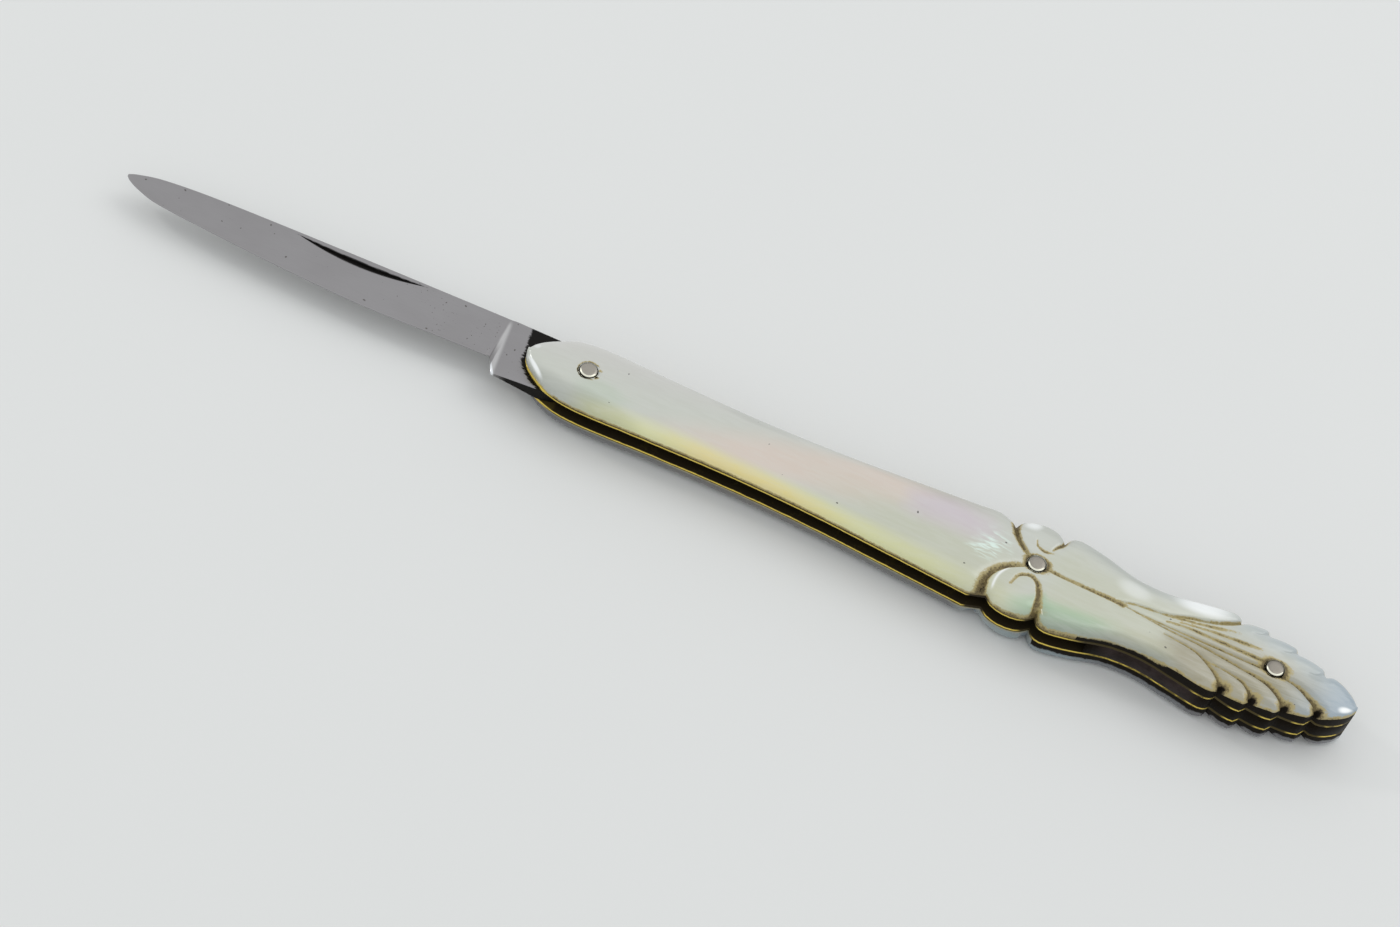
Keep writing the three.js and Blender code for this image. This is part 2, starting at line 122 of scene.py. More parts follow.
def smoothstep(low, high, value):
    t = np.clip((value - low) / (high - low), 0, 1)
    return t * t * (3 - 2 * t)


# The front end is a parabola: this times the half width's square is the way from the tip
SCALE_FRONT_CURVE = 0.36
LINER_FRONT_CURVE = 0.31
FRONT_FULL, FRONT_END = -4.2, -2.2


def front_gain(x, half, curvature):
    """What a rounder front end adds to the half width of the solid."""
    round_half = np.sqrt(np.clip((x - FRONT_X) / curvature, 0, None))
    return np.clip(round_half - half, 0, None) * smoothstep(FRONT_END, FRONT_FULL, x)


class Side:
    """The half width of one side of the handle at any place along it.

    Where the slope rises by more than NOTCH_TURN, the outline has a notch.
    """

    NOTCH_TURN = 0.3

    def __init__(self, sign):
        points = node_points("top_liner")
        centers = np.array(list(PINS.values()))[:, :2]
        gaps = np.linalg.norm(points[:, None, :2] - centers[None], axis=2).min(axis=1)
        points = points[gaps > HEAD_RADIUS]
        places = sorted({round(float(x), 3) for x in points[:, 0]})
        reach = [
            (x, (sign * points[np.abs(points[:, 0] - x) < 0.002, 1]).max()) for x in places
        ]
        self.x, self.y = np.array([(x, half) for x, half in reach if half > 0.05]).T
        slopes = np.diff(self.y) / np.diff(self.x)
        before = np.concatenate([slopes[:1], slopes])
        after = np.concatenate([slopes, slopes[-1:]])
        notch = (after - before) > self.NOTCH_TURN
        mean = (before + after) / 2
        self.into = np.where(notch, before, mean)
        self.out = np.where(notch, after, mean)

    def half(self, x):
        x = np.asarray(x, float)
        i = np.clip(np.searchsorted(self.x, x) - 1, 0, len(self.x) - 2)
        span = self.x[i + 1] - self.x[i]
        t = np.clip((x - self.x[i]) / span, 0, 1)
        a, b = self.y[i], self.y[i + 1]
        m, n = self.out[i] * span, self.into[i + 1] * span
        solid = (2 * t**3 - 3 * t**2 + 1) * a + (t**3 - 2 * t**2 + t) * m
        solid = solid + (3 * t**2 - 2 * t**3) * b + (t**3 - t**2) * n
        return solid + front_gain(x, solid, SCALE_FRONT_CURVE)


SPRING_SIDE = Side(1)
SLOT_SIDE = Side(-1)


def half_width(x, share):
    """Half width of the handle on the side that the share across is on."""
    return np.where(share >= 0, SPRING_SIDE.half(x), SLOT_SIDE.half(x))


# Sizes and colours that a user would change


def length(description, default):
    return bpy.props.FloatProperty(
        description=description, default=default * MM, unit="LENGTH", precision=5
    )


def amount(description, default, top):
    return bpy.props.FloatProperty(description=description, default=default, min=0, max=top)


def tint(description, default):
    return bpy.props.FloatVectorProperty(
        description=description, default=default, subtype="COLOR", size=3, min=0, max=1
    )


class ScaleSizes(bpy.types.PropertyGroup):
    """Crown and carving of the pearl scales."""

    wall: length("Height of the plain grip's edge above the liner", 0.42)
    shoulder: length("Breadth of the round between crown and wall", 1.7)
    carved_wall: length("Height of the carved end's edge above the liner", 0.95)
    carved_shoulder: length("Breadth of the carved end's round", 1.1)
    front_drop: length("How far the crown falls at the front", 0.4)
    butt_drop: length("How far the crown falls at the butt", 0.08)
    groove: length("Depth of a carved line at its widest", 0.34)
    chevron: length("Depth of the cut between the grip and the scrolls", 0.5)
    pillow: length("How far a lobe sinks towards the groove beside it", 0.18)
    recess: length("Gap round a pin head", 0.1)


class BladeSizes(bpy.types.PropertyGroup):
    """Grind, nick and tang of the blade."""

    edge: length("Thickness left at the cutting edge", 0.05)
    tip: length("Thickness of the spine at the tip", 0.5)
    chamfer: length("Softened corner along the spine", 0.05)
    plunge: length("Length of the step from ricasso to grind", 0.6)
    nick_depth: length("Depth of the thumbnail groove", 0.34)
    nick_width: length("Breadth of the thumbnail groove at its middle", 0.72)
    heel: length("Thickness left at the corner of the kick", 0.35)


class Finishes(bpy.types.PropertyGroup):
    """Colours of the materials."""

    pearl: tint("Body colour of the mother of pearl", (0.565, 0.58, 0.52))
    pearl_pink: tint("Rose play of colour", (0.665, 0.57, 0.495))
    pearl_lilac: tint("Lilac play of colour", (0.60, 0.53, 0.565))
    pearl_green: tint("Green play of colour", (0.36, 0.51, 0.33))
    pearl_lime: tint("Yellow-green play of colour", (0.81, 0.81, 0.33))
    pearl_orange: tint("Warm play of colour by the slot", (0.92, 0.66, 0.17))
    pearl_blue: tint("Cool play of colour at the butt", (0.29, 0.365, 0.43))
    cream: tint("Warm pearl of the waist", (0.52, 0.53, 0.40))
    # Painted shade on the slot-side wall of the lower scale
    shade: tint("Soiled wall of the lower scale", (0.19, 0.24, 0.29))
    aged: tint("Pearl between the ribs of the fan", (0.335, 0.305, 0.205))
    honey: tint("Thin old dirt in the finest lines", (0.40, 0.315, 0.11))
    stain: tint("Thick old dirt in the carving", (0.15, 0.108, 0.037))
    grime: tint("Black dirt along the edges", (0.010, 0.007, 0.004))
    brass: tint("Bright brass", (1.0, 0.76, 0.15))
    tarnish: tint("Dark skin on the brass", (0.035, 0.025, 0.010))
    blade: tint("Old polished steel", (0.335, 0.323, 0.329))
    spring: tint("Dark skin of the back spring", (0.05, 0.037, 0.036))
    # Also used for painted shade on the blade's faces turned to the slot by the ricasso
    patina: tint("Black skin beside the handle", (0.009, 0.008, 0.007))
    pin: tint("Worn white metal of the pins", (0.40, 0.375, 0.33))
    floor: tint("Pale floor", (0.78, 0.785, 0.775))


class StageSizes(bpy.types.PropertyGroup):
    """Camera, lamps and room."""

    lens: amount("Focal length in millimetres", 50, 500)
    sensor: amount("Sensor width in millimetres", 23.6, 100)
    camera_place: bpy.props.FloatVectorProperty(
        description="Where the camera stands", subtype="TRANSLATION", precision=5,
        default=(0.02362, -0.16761, 0.21823),
    )
    camera_turn: bpy.props.FloatVectorProperty(
        description="Tilt, roll and swing of the camera", subtype="EULER",
        default=[math.radians(angle) for angle in (36.49, -10.30, 22.13)],
    )
    key: amount("Power of the large lamp behind the knife, in watts", 0.5, 50)
    side: amount("Power of the small lamp on the left, in watts", 0.22, 50)
    sky: amount("Brightness of the room", 0.815, 5)


class QuillKnife(bpy.types.PropertyGroup):
    """All sizes and colours of the knife."""

    scales: bpy.props.PointerProperty(type=ScaleSizes)
    blade: bpy.props.PointerProperty(type=BladeSizes)
    finishes: bpy.props.PointerProperty(type=Finishes)
    stage: bpy.props.PointerProperty(type=StageSizes)


# Meshes


def place(x, y, z):
    return Vector((x * MM + PIVOT.x, y * MM + PIVOT.y, z * MM))


def grid_indices(bm, columns, rows):
    """A fresh grid and, for each of its vertices, its column and its row."""
    made = bmesh.ops.create_grid(
        bm, x_segments=columns - 1, y_segments=rows - 1, size=1, matrix=Matrix.Identity(4)
    )
    verts = made["verts"]
    spot = np.array([vertex.co[:2] for vertex in verts])
    column = np.rint((spot[:, 0] + 1) / 2 * (columns - 1)).astype(int)
    row = np.rint((spot[:, 1] + 1) / 2 * (rows - 1)).astype(int)
    return verts, column, row


def move_to(verts, x, y, z):
    for vertex, *spot in zip(verts, x, y, z):
        vertex.co = place(*spot)


def linked(name, data):
    """A new object in the scene."""
    item = bpy.data.objects.new(name, data)
    bpy.context.scene.collection.objects.link(item)
    return item


def finish_mesh(bm, name, material, smooth_angle=None):
    """Turns a bmesh into a linked object with one material."""
    mesh = bpy.data.meshes.new(name)
    bm.to_mesh(mesh)
    bm.free()
    mesh.materials.append(material)
    mesh.shade_smooth()
    if smooth_angle is not None:
        mesh.set_sharp_from_angle(angle=math.radians(smooth_angle))
    return linked(name, mesh)


def seat(piece, body, node):
    """Puts a finished piece on its body in place of its node."""
    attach(piece, body)
    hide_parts(node)


def boundary(verts):
    edges = {edge for vertex in verts for edge in vertex.link_edges}
    return [edge for edge in edges if edge.is_boundary]


def round_front(bm):
    """Rounds a liner's front end like the scales, and lets it show beside them."""
    for vertex in bm.verts:
        x, y = (vertex.co.x - PIVOT.x) / MM, vertex.co.y / MM
        if x < FRONT_END:
            gain = front_gain(x, abs(y), LINER_FRONT_CURVE)
            vertex.co.y += math.copysign(gain, y) * MM


def bevelled_copy(node, name, material, width, rounded=False):
    """A node's own shape with its flats joined and the rims of its flats softened."""
    bm = bmesh.new()
    bm.from_mesh(frame["nodes"][node].data)
    bmesh.ops.remove_doubles(bm, verts=bm.verts, dist=0.001 * MM)
    if rounded:
        round_front(bm)
    bmesh.ops.dissolve_limit(
        bm, angle_limit=math.radians(0.5), verts=bm.verts, edges=bm.edges
    )
    corner = math.radians(50)
    rims = [
        edge for edge in bm.edges
        if len(edge.link_faces) == 2 and edge.calc_face_angle(0) > corner
        and abs(edge.verts[0].co.z - edge.verts[1].co.z) < 0.01 * MM
    ]
    bmesh.ops.bevel(
        bm, geom=rims, offset=width * MM, offset_type="OFFSET", segments=2, profile=0.5,
        affect="EDGES", material=-1, clamp_overlap=True,
    )
    return finish_mesh(bm, name, material, smooth_angle=35)


def cut_holes(piece, radius):
    """Cuts a round hole through a piece at each pin."""
    bm = bmesh.new()
    for center in PINS.values():
        bmesh.ops.create_cone(
            bm, cap_ends=True, segments=64, radius1=radius * MM, radius2=radius * MM,
            depth=4 * SCALE_TOP * MM,
            matrix=Matrix.Translation(place(center[0], center[1], SCALE_TOP / 2)),
        )
    cutter = finish_mesh(bm, "cutter", piece.data.materials[0])
    modifier = piece.modifiers.new("holes", "BOOLEAN")
    modifier.operation = "DIFFERENCE"
    modifier.solver = "EXACT"
    modifier.object = cutter
    evaluated = piece.evaluated_get(bpy.context.evaluated_depsgraph_get())
    mesh = bpy.data.meshes.new_from_object(evaluated)
    piece.modifiers.clear()
    piece.data = mesh
    bpy.data.objects.remove(cutter)


# Carving of the scales


CARVED_X = CENTER_PIN_X - 3.2
SCROLL_X = CENTER_PIN_X - 3.1
FAN_X = CENTER_PIN_X + 10
LEAST_PEARL = 0.18
GRIP_STEP = 0.5
INSET_COLUMNS = 45
PIN_SMEARS = (0, 0.3, 0.45)


@dataclass
class Groove:
    """A carved line: steep on the side of the lobe in front, soft on the lobe behind."""

    points: list
    depth: float
    start: float = 0.3
    steep: float = 0.1
    soft: float = 0.28
    side: int = 1
    pillow: float = 0.0
    flare: float = 0.0
    dirt: float = 1.0
    fade: float = 0.0
    dirt_width: float = 0.06

    def __post_init__(self):
        self.points = curve(self.points)

    def nearest(self, x, y):
        """Signed distance to the line and the share of its length there."""
        best = np.full(x.shape, np.inf)
        signed = np.zeros(x.shape)
        share = np.zeros(x.shape)
        count = len(self.points) - 1
        for i in range(count):
            a = self.points[i]
            along = self.points[i + 1] - a
            dx, dy = x - a[0], y - a[1]
            held = np.clip((dx * along[0] + dy * along[1]) / (along @ along), 0, 1)
            gap = np.hypot(dx - held * along[0], dy - held * along[1])
            turn = np.where(along[0] * dy - along[1] * dx > 0, self.side, -self.side)
            closer = gap < best
            best = np.where(closer, gap, best)
            signed = np.where(closer, gap * turn, signed)
            share = np.where(closer, (i + held) / count, share)
        return signed, share

    def carve(self, x, y):
        """Depth of the cut and strength of the stain at each place."""
        signed, share = self.nearest(x, y)
        ramp = self.start + (1 - self.start) * share
        if self.fade:
            ramp = ramp * smoothstep(1.0, 1 - self.fade, share)
        gap = np.abs(signed)
        soft = self.soft + self.flare * share**2
        spread = np.where(signed > 0, soft, self.steep) * (0.45 + 0.55 * ramp)
        cut = self.depth * ramp * np.exp(-((gap / spread) ** 1.6))
        reach = np.where(signed > 0, 0.6, 0.2)
        cut = cut + self.pillow * ramp * np.exp(-gap / reach)
        width = 0.7 * spread + self.dirt_width * (0.5 + share**2) * np.where(signed > 0, 1, 0.5)
        dirt = (0.35 + 0.65 * ramp) * np.exp(-((gap / width) ** 2.5))
        halo = 0.22 * ramp * np.exp(-gap / (2.2 * width))
        return cut, self.dirt * np.maximum(dirt, halo)


def moved(start, points):
    """Points whose places along the knife are counted from a start."""
    return [(start + x, y) for x, y in points]


def stem_and_scrolls(sizes):
    """The stem, the two cuts round the grip and the curls of the scrolls."""
    deep = sizes.groove / MM
    chevron = sizes.chevron / MM
    pillow = sizes.pillow / MM
    pin_y = PINS["center_pin"][1]
    stem = moved(CENTER_PIN_X, [(0.6, pin_y), (2.3, 0.14), (7.3, 0.02), (8.6, -0.05)])
    far_cut = moved(SCROLL_X, [(2.4, pin_y + 0.5), (1.25, 1.75), (0.4, 2.85), (0.15, 4.0),
                               (0.15, 6.0)])
    near_cut = moved(SCROLL_X, [(2.3, pin_y - 0.6), (0.6, -1.35), (-0.4, -2.75),
                                (-0.55, -3.95), (0.1, -6.0)])
    near_curl = moved(SCROLL_X, [(1.6, -2.85), (2.0, -1.75), (2.9, -1.25), (3.7, -1.65),
                                 (4.25, -2.95), (4.4, -4.2), (4.8, -6.0)])
    far_curl = moved(SCROLL_X, [(2.3, 2.85), (2.6, 2.25), (3.4, 1.95), (4.1, 2.15)])
    far_wedge = moved(SCROLL_X, [(4.0, 2.6), (4.3, 3.1), (4.75, 3.9), (5.0, 6.0)])
    return [
        Groove(stem, 0.5 * deep, start=0.9, steep=0.13, soft=0.17, dirt=0.68, dirt_width=0.2),
        Groove(far_cut, chevron, start=0.4, steep=0.2, soft=0.3, pillow=0.4 * pillow,
               dirt_width=0.36),
        Groove(near_cut, chevron, start=0.4, steep=0.16, soft=0.45, side=-1,
               pillow=0.4 * pillow, flare=0.3, dirt_width=0.34),
        Groove(near_curl, 0.8 * deep, start=0.2, steep=0.12, soft=0.22, flare=0.3,
               dirt_width=0.24),
        Groove(far_curl, 0.2 * deep, start=0.5, steep=0.1, soft=0.14, dirt=0.8, fade=0.3,
               dirt_width=0.1),
        Groove(far_wedge, 0.6 * chevron, start=0.3, steep=0.16, soft=0.3, side=-1),
    ]


def fan_ribs(sizes):
    """The ribs that fan out from the stem, each near one down to its notch."""
    deep = sizes.groove / MM
    pillow = sizes.pillow / MM
    near_starts = [
        [(57.6, -1.1), (60.1, -1.4), (61.4, -1.8), (63.0, -2.9)],
        [(61.6, -2.0), (63.2, -2.1), (64.7, -2.3), (65.9, -2.75)],
        [(54.6, -0.2), (57.7, -0.5), (61.0, -0.66), (64.9, -1.15), (66.9, -1.45), (68.3, -1.95)],
        [(52.6, 0.08), (55.5, -0.17), (61.2, -0.2), (65.8, -0.2), (69.0, -0.25), (70.5, -0.6),
         (71.6, -1.25)],
    ]
    far_starts = [
        [(52.6, 0.16), (54.4, 0.72), (57.2, 1.1), (59.3, 1.85), (61.0, 2.35), (62.7, 3.1)],
        [(57.3, 1.0), (58.6, 1.26), (60.8, 1.72), (64.0, 2.5)],
        [(58.7, 0.9), (61.2, 1.3), (64.2, 1.6), (66.3, 1.74)],
        [(57.5, 0.35), (59.6, 0.62), (62.7, 0.66), (67.2, 0.63)],
    ]
    ribs = []
    for start, (x, half) in zip(near_starts, notches_of(SLOT_SIDE)):
        points = [*start, (x - 0.12, 0.12 - half), (x + 0.25, -half - 1.2)]
        ribs.append(Groove(points, 1.4 * deep, start=0.15, steep=0.08, soft=0.16,
                           pillow=pillow, flare=0.8))
    for i, (start, (x, half)) in enumerate(zip(far_starts, notches_of(SPRING_SIDE))):
        if i == 0:
            points = [*start, (x - 0.1, half - 0.15), (x + 0.15, half + 1)]
            ribs.append(Groove(points, deep, start=0.25, steep=0.09, soft=0.3, side=-1,
                               pillow=pillow, dirt=0.55, dirt_width=0.1))
            continue
        ribs.append(Groove(start, 0.5 * deep, start=0.5, steep=0.12, soft=0.2, side=-1,
                           dirt=0.7, dirt_width=0.12, fade=0.3 if i < 3 else 0))
        mark = [(x - 2.0, half - 0.75), (x - 0.9, half - 0.55), (x + 0.1, half + 0.6)]
        ribs.append(Groove(mark, 0.7 * deep, start=0.05, steep=0.12, soft=0.5, side=-1,
                           dirt=0.12))
    return ribs


def notches_of(side):
    """Places and half widths of the fan's notches on one side, from front to butt."""
    found = []
    for i in range(1, len(side.x) - 1):
        if side.into[i] != side.out[i] and side.x[i] > FAN_X:
            found.append((float(side.x[i]), float(side.y[i])))
    return found


def crown_height(x, sizes):
    full = SCALE_TOP - UPPER_FACE
    front = smoothstep(0.3 * -FRONT_X, -FRONT_X, -x)
    butt = smoothstep(PINS["end_pin"][0] + 4, BUTT_X, x)
    return full - (sizes.front_drop * front + sizes.butt_drop * butt) / MM


def inset(columns, column, y):
    """Distance of grid points from the outline in the columns near their own."""
    x = columns[column]
    best = np.full(x.shape, np.inf)
    for sign, side in ((1, SPRING_SIDE), (-1, SLOT_SIDE)):
        halves = side.half(columns)
        for step in range(-INSET_COLUMNS, INSET_COLUMNS):
            i = np.clip(column + step, 0, len(columns) - 2)
            along_x, along_y = columns[i + 1] - columns[i], halves[i + 1] - halves[i]
            dx, dy = x - columns[i], sign * y - halves[i]
            held = (dx * along_x + dy * along_y) / (along_x**2 + along_y**2)
            held = np.clip(held, 0, 1)
            best = np.minimum(best, np.hypot(dx - held * along_x, dy - held * along_y))
    return best


def scale_height(x, depth_in, sizes):
    """Height of the plain scale above its liner, before the carving."""
    carved = smoothstep(CARVED_X, CARVED_X + 4, x)
    wall = (sizes.wall + (sizes.carved_wall - sizes.wall) * carved) / MM
    broad = (sizes.shoulder + (sizes.carved_shoulder - sizes.shoulder) * carved) / MM
    half = np.minimum(SPRING_SIDE.half(x), SLOT_SIDE.half(x))
    shoulder = np.minimum(broad, 0.3 + 0.5 * half)
    over = np.clip(1 - depth_in / shoulder, 0, 1)
    return wall + (crown_height(x, sizes) - wall) * np.sqrt(1 - over**2.2)


def grip_columns(fine):
    """Places along the handle, close together in the carving and at the front end."""
    places = []
    for a, b in zip(SLOT_SIDE.x[:-1], SLOT_SIDE.x[1:]):
        middle = (a + b) / 2
        step = fine if middle > CENTER_PIN_X - 5 else (2 * fine if middle < 1 else GRIP_STEP)
        places.extend(np.linspace(a, b, max(1, math.ceil((b - a) / step)) + 1)[:-1])
    return np.array([*places, SLOT_SIDE.x[-1]])


def across_rows(count):
    """Shares of the half width, from the slot side to the spring side."""
    t = np.linspace(-1, 1, count)
    return 0.4 * t + 0.6 * np.sin(t * math.pi / 2)


def wall_grime(x, height):
    """Black dirt on the scale's wall, behind the scrolls."""
    reach = 0.5 + 0.4 * smoothstep(56, 60, x)
    return smoothstep(49, 54, x) * (1 - smoothstep(reach, reach + 0.25, height))


def dirt_in_notches(x, y, stain, grime):
    """Adds a brown spot with a black middle in each of the slot side's notches."""
    for notch, half in notches_of(SLOT_SIDE):
        gap = np.hypot((x - notch - 0.15) / 0.7, (y + half - 0.1) / 0.62)
        stain = np.maximum(stain, 1.1 * np.exp(-(gap**2)))
        grime = np.maximum(grime, 0.75 * np.exp(-((1.5 * gap) ** 2)))
    return stain, grime


def dirt_round_pins(x, y, stain, grime):
    """Adds a brown halo of dirt, smeared lengthwise, and a black ring of dirt, widened towards
    the slot by a painted shadow of the head.
    """
    for center, smear in zip(PINS.values(), PIN_SMEARS):
        dx, dy = x - center[0], y - center[1]
        reach = np.hypot(dx, dy)
        ring = np.maximum(reach - HEAD_RADIUS, 0)
        along = np.abs(dx) / np.maximum(reach, 0.01)
        spread = 0.2 + smear * along**2
        stain = np.maximum(stain, np.exp(-((ring / spread) ** 2)))
        # Painted shadow: the black ring widens on the slot side and towards the front, where the
        # proud head casts its shade
        shaded_side = 0.5 - 0.5 * (dy + 0.4 * dx) / np.maximum(reach, 0.01)
        grime = np.maximum(grime, 0.9 * np.exp(-((ring / (0.08 + 0.2 * shaded_side)) ** 2)))
    return stain, grime


def soil_foot(vertex, layers, up):
    """Dirt where the scale meets its liner: brown on the grip, black on the carved end."""
    along = (vertex.co.x - PIVOT.x) / MM
    vertex[layers[0]] = 0.85 if up > 0 and along > -2 else 0.3
    vertex[layers[1]] = 1.0 if along > 50.5 or (up < 0 and along > 47) else 0.0


def build_scale(name, node, face_z, material, sizes, up, fine, rows):
    """A carved scale on its liner's face; up is 1 for the upper scale and -1 for the lower."""
    columns = grip_columns(fine)
    shares = across_rows(rows)
    bm = bmesh.new()
    layers = [bm.verts.layers.float.new(layer) for layer in ("stain", "grime", "across")]
    verts, column, row = grid_indices(bm, len(columns), len(shares))
    x = columns[column]
    share = shares[row]
    y = share * half_width(x, share)
    height = scale_height(x, inset(columns, column, y), sizes)
    grime = wall_grime(x, height) * (up > 0)
    cut = np.zeros(x.shape)
    stain = 0.45 * wall_grime(x, height - 0.22) * (up > 0)
    for line in stem_and_scrolls(sizes) + fan_ribs(sizes):
        depth, dirt = line.carve(x, y)
        cut = np.maximum(cut, depth)
        stain = np.maximum(stain, dirt)
    stain, grime = dirt_in_notches(x, y, stain, grime)
    stain, grime = dirt_round_pins(x, y, stain, grime)
    height = np.maximum(height - cut, LEAST_PEARL)
    move_to(verts, x, y, face_z + up * height)
    for vertex, *values in zip(verts, stain, grime, share):
        for layer, value in zip(layers, values):
            vertex[layer] = value
    walls = bmesh.ops.extrude_edge_only(bm, edges=boundary(verts))
    feet = [item for item in walls["geom"] if isinstance(item, bmesh.types.BMVert)]
    for vertex in feet:
        vertex.co.z = face_z * MM
        soil_foot(vertex, layers, up)
    bmesh.ops.edgeloop_fill(bm, edges=boundary(feet))
    bmesh.ops.recalc_face_normals(bm, faces=bm.faces)
    piece = finish_mesh(bm, name, material, smooth_angle=60)
    cut_holes(piece, HEAD_RADIUS + sizes.recess / MM)
    seat(piece, HANDLE, node)


# Materials


# Colours of small marks, painted highlights and painted shade
PAINTED_HIGHLIGHT = (0.98, 1.0, 1.0)
FLECK = (0.74, 0.88, 0.80)
PALE_LAYER = (0.70, 0.72, 0.68)
PEARL_EDGE_SHADE = (0.27, 0.29, 0.25)
DUSKY_PEARL = (0.40, 0.39, 0.23)
DIRT_GRAIN = (0.05, 0.04, 0.02)
PAINTED_UNDER_SHADE = (0.07, 0.055, 0.06)
SPRING_SCRATCH = (0.25, 0.2, 0.18)
SPRING_STREAK = (0.2, 0.185, 0.175)
STEEL_CLOUD = (0.42, 0.41, 0.42)
STEEL_GRAIN = (0.25, 0.245, 0.25)
STEEL_PIT = (0.09, 0.08, 0.07)
PLUNGE_HIGHLIGHT = (0.60, 0.59, 0.59)
KICK_GLINT = (0.95, 0.97, 1.0)
PIN_WEAR = (0.38, 0.34, 0.29)
PIN_BUTT_SHADE = (0.23, 0.21, 0.18)
PIN_GLINT = (0.95, 0.93, 0.78)
PIN_WALL_DIRT_AND_SHADE = (0.03, 0.022, 0.012)
FLOOR_CLOUD = (0.70, 0.71, 0.70)


def maths(operation, swapped=False):
    """A method that adds a Math node on the socket and whatever else it is given."""

    def method(self, *others):
        values = (*others, self) if swapped else (self, *others)
        return self.finish.node("Math", {"operation": operation}, *values)

    return method


class Value:
    """A shader socket; the usual operators on it add Math nodes."""

    def __init__(self, finish, socket):
        self.finish = finish
        self.socket = socket

    __add__ = maths("ADD")
    __radd__ = maths("ADD", swapped=True)
    __sub__ = maths("SUBTRACT")
    __rsub__ = maths("SUBTRACT", swapped=True)
    __mul__ = maths("MULTIPLY")
    __truediv__ = maths("DIVIDE")
    __abs__ = maths("ABSOLUTE")
    fraction = maths("FRACT")
    most = maths("MAXIMUM")

    def ramp(self, low, high, to_low=0.0, to_high=1.0):
        """A smooth step from one level to another between two limits."""
        settings = {"interpolation_type": "SMOOTHSTEP"}
        return self.finish.node("MapRange", settings, self, low, high, to_low, to_high)


class Finish:
    """One material, its nodes and the base colour as painted so far."""

    def __init__(self, name, base):
        self.base = base
        self.material = bpy.data.materials.new(name)
        self.material.use_nodes = True
        self.tree = self.material.node_tree
        self.tree.nodes.clear()
        output = self.tree.nodes.new("ShaderNodeOutputMaterial")
        self.shader = self.tree.nodes.new("ShaderNodeBsdfPrincipled")
        self.tree.links.new(self.shader.outputs[0], output.inputs[0])

    def node(self, kind, settings, *values, out=0, **named):
        """Adds a node, sets it up, then fills its sockets in order and by name."""
        node = self.tree.nodes.new("ShaderNode" + kind)
        for key, value in settings.items():
            setattr(node, key, value)
        for i, value in enumerate(values):
            self.fill(node.inputs[i], value)
        self.fill_named(node, named)
        return Value(self, node.outputs[out])

    def fill(self, socket, value):
        if isinstance(value, Value):
            self.tree.links.new(value.socket, socket)
        else:
            socket.default_value = value

    def fill_named(self, node, named):
        for key, value in named.items():
            self.fill(node.inputs[key.replace("_", " ")], value)

    def mix(self, share, first, second):
        """A colour between two others, which are sockets or three numbers."""
        node = self.tree.nodes.new("ShaderNodeMix")
        node.data_type = "RGBA"
        self.fill(node.inputs[0], share)
        for i, color in ((6, first), (7, second)):
            self.fill(node.inputs[i], color if isinstance(color, Value) else (*color, 1))
        return Value(self, node.outputs[2])

    def paint(self, share, color):
        """Lays a colour over the base colour, as strongly as the share says."""
        self.base = self.mix(share, self.base, color)

    def done(self, **sockets):
        """Fills the shader's sockets and returns the material."""
        self.fill_named(self.shader, {"Base_Color": self.base, **sockets})
        return self.material

    def place(self, scale=(1, 1, 1)):
        """Object coordinates in millimetres from the pivot pin, stretched along the axes."""
        coordinates = self.node("TexCoord", {}, out=3)
        stretch = [s / MM for s in scale]
        shift = [-PIVOT[i] * stretch[i] for i in range(2)] + [0]
        return self.node(
            "Mapping", {"vector_type": "POINT"}, coordinates, shift, (0, 0, 0), stretch
        )

    def along(self, axis):
        return self.node("SeparateXYZ", {}, self.place(), out="XYZ".index(axis))

    def facing(self, axis):
        """How far the surface faces along one of the object's own axes."""
        normal = self.node("TexCoord", {}, out=1)
        return self.node("SeparateXYZ", {}, normal, out="XYZ".index(axis))

    def noise(self, scale, stretch=(1, 1, 1), detail=3.0, rough=0.55, distort=0.0):
        return self.node(
            "TexNoise", {}, Vector=self.place(stretch), Scale=scale, Detail=detail,
            Roughness=rough, Distortion=distort,
        )

    def attribute(self, name):
        return self.node("Attribute", {"attribute_name": name}, out=2)

    def bump(self, height, distance, strength):
        return self.node("Bump", {}, Height=height, Distance=distance * MM, Strength=strength)


def patch(x, y, center, reach):
    """A soft round patch, 1 at its centre and 0 at its reach."""
    dx = (x - center[0]) / reach[0]
    dy = (y - center[1]) / reach[1]
    return (dx * dx + dy * dy).ramp(1.0, 0.0)


# In the materials, x, y and z are millimetres from the pivot pin, and across runs from -1 at
# the scale's edge on the slot's side to 1 at its edge on the spring's side.


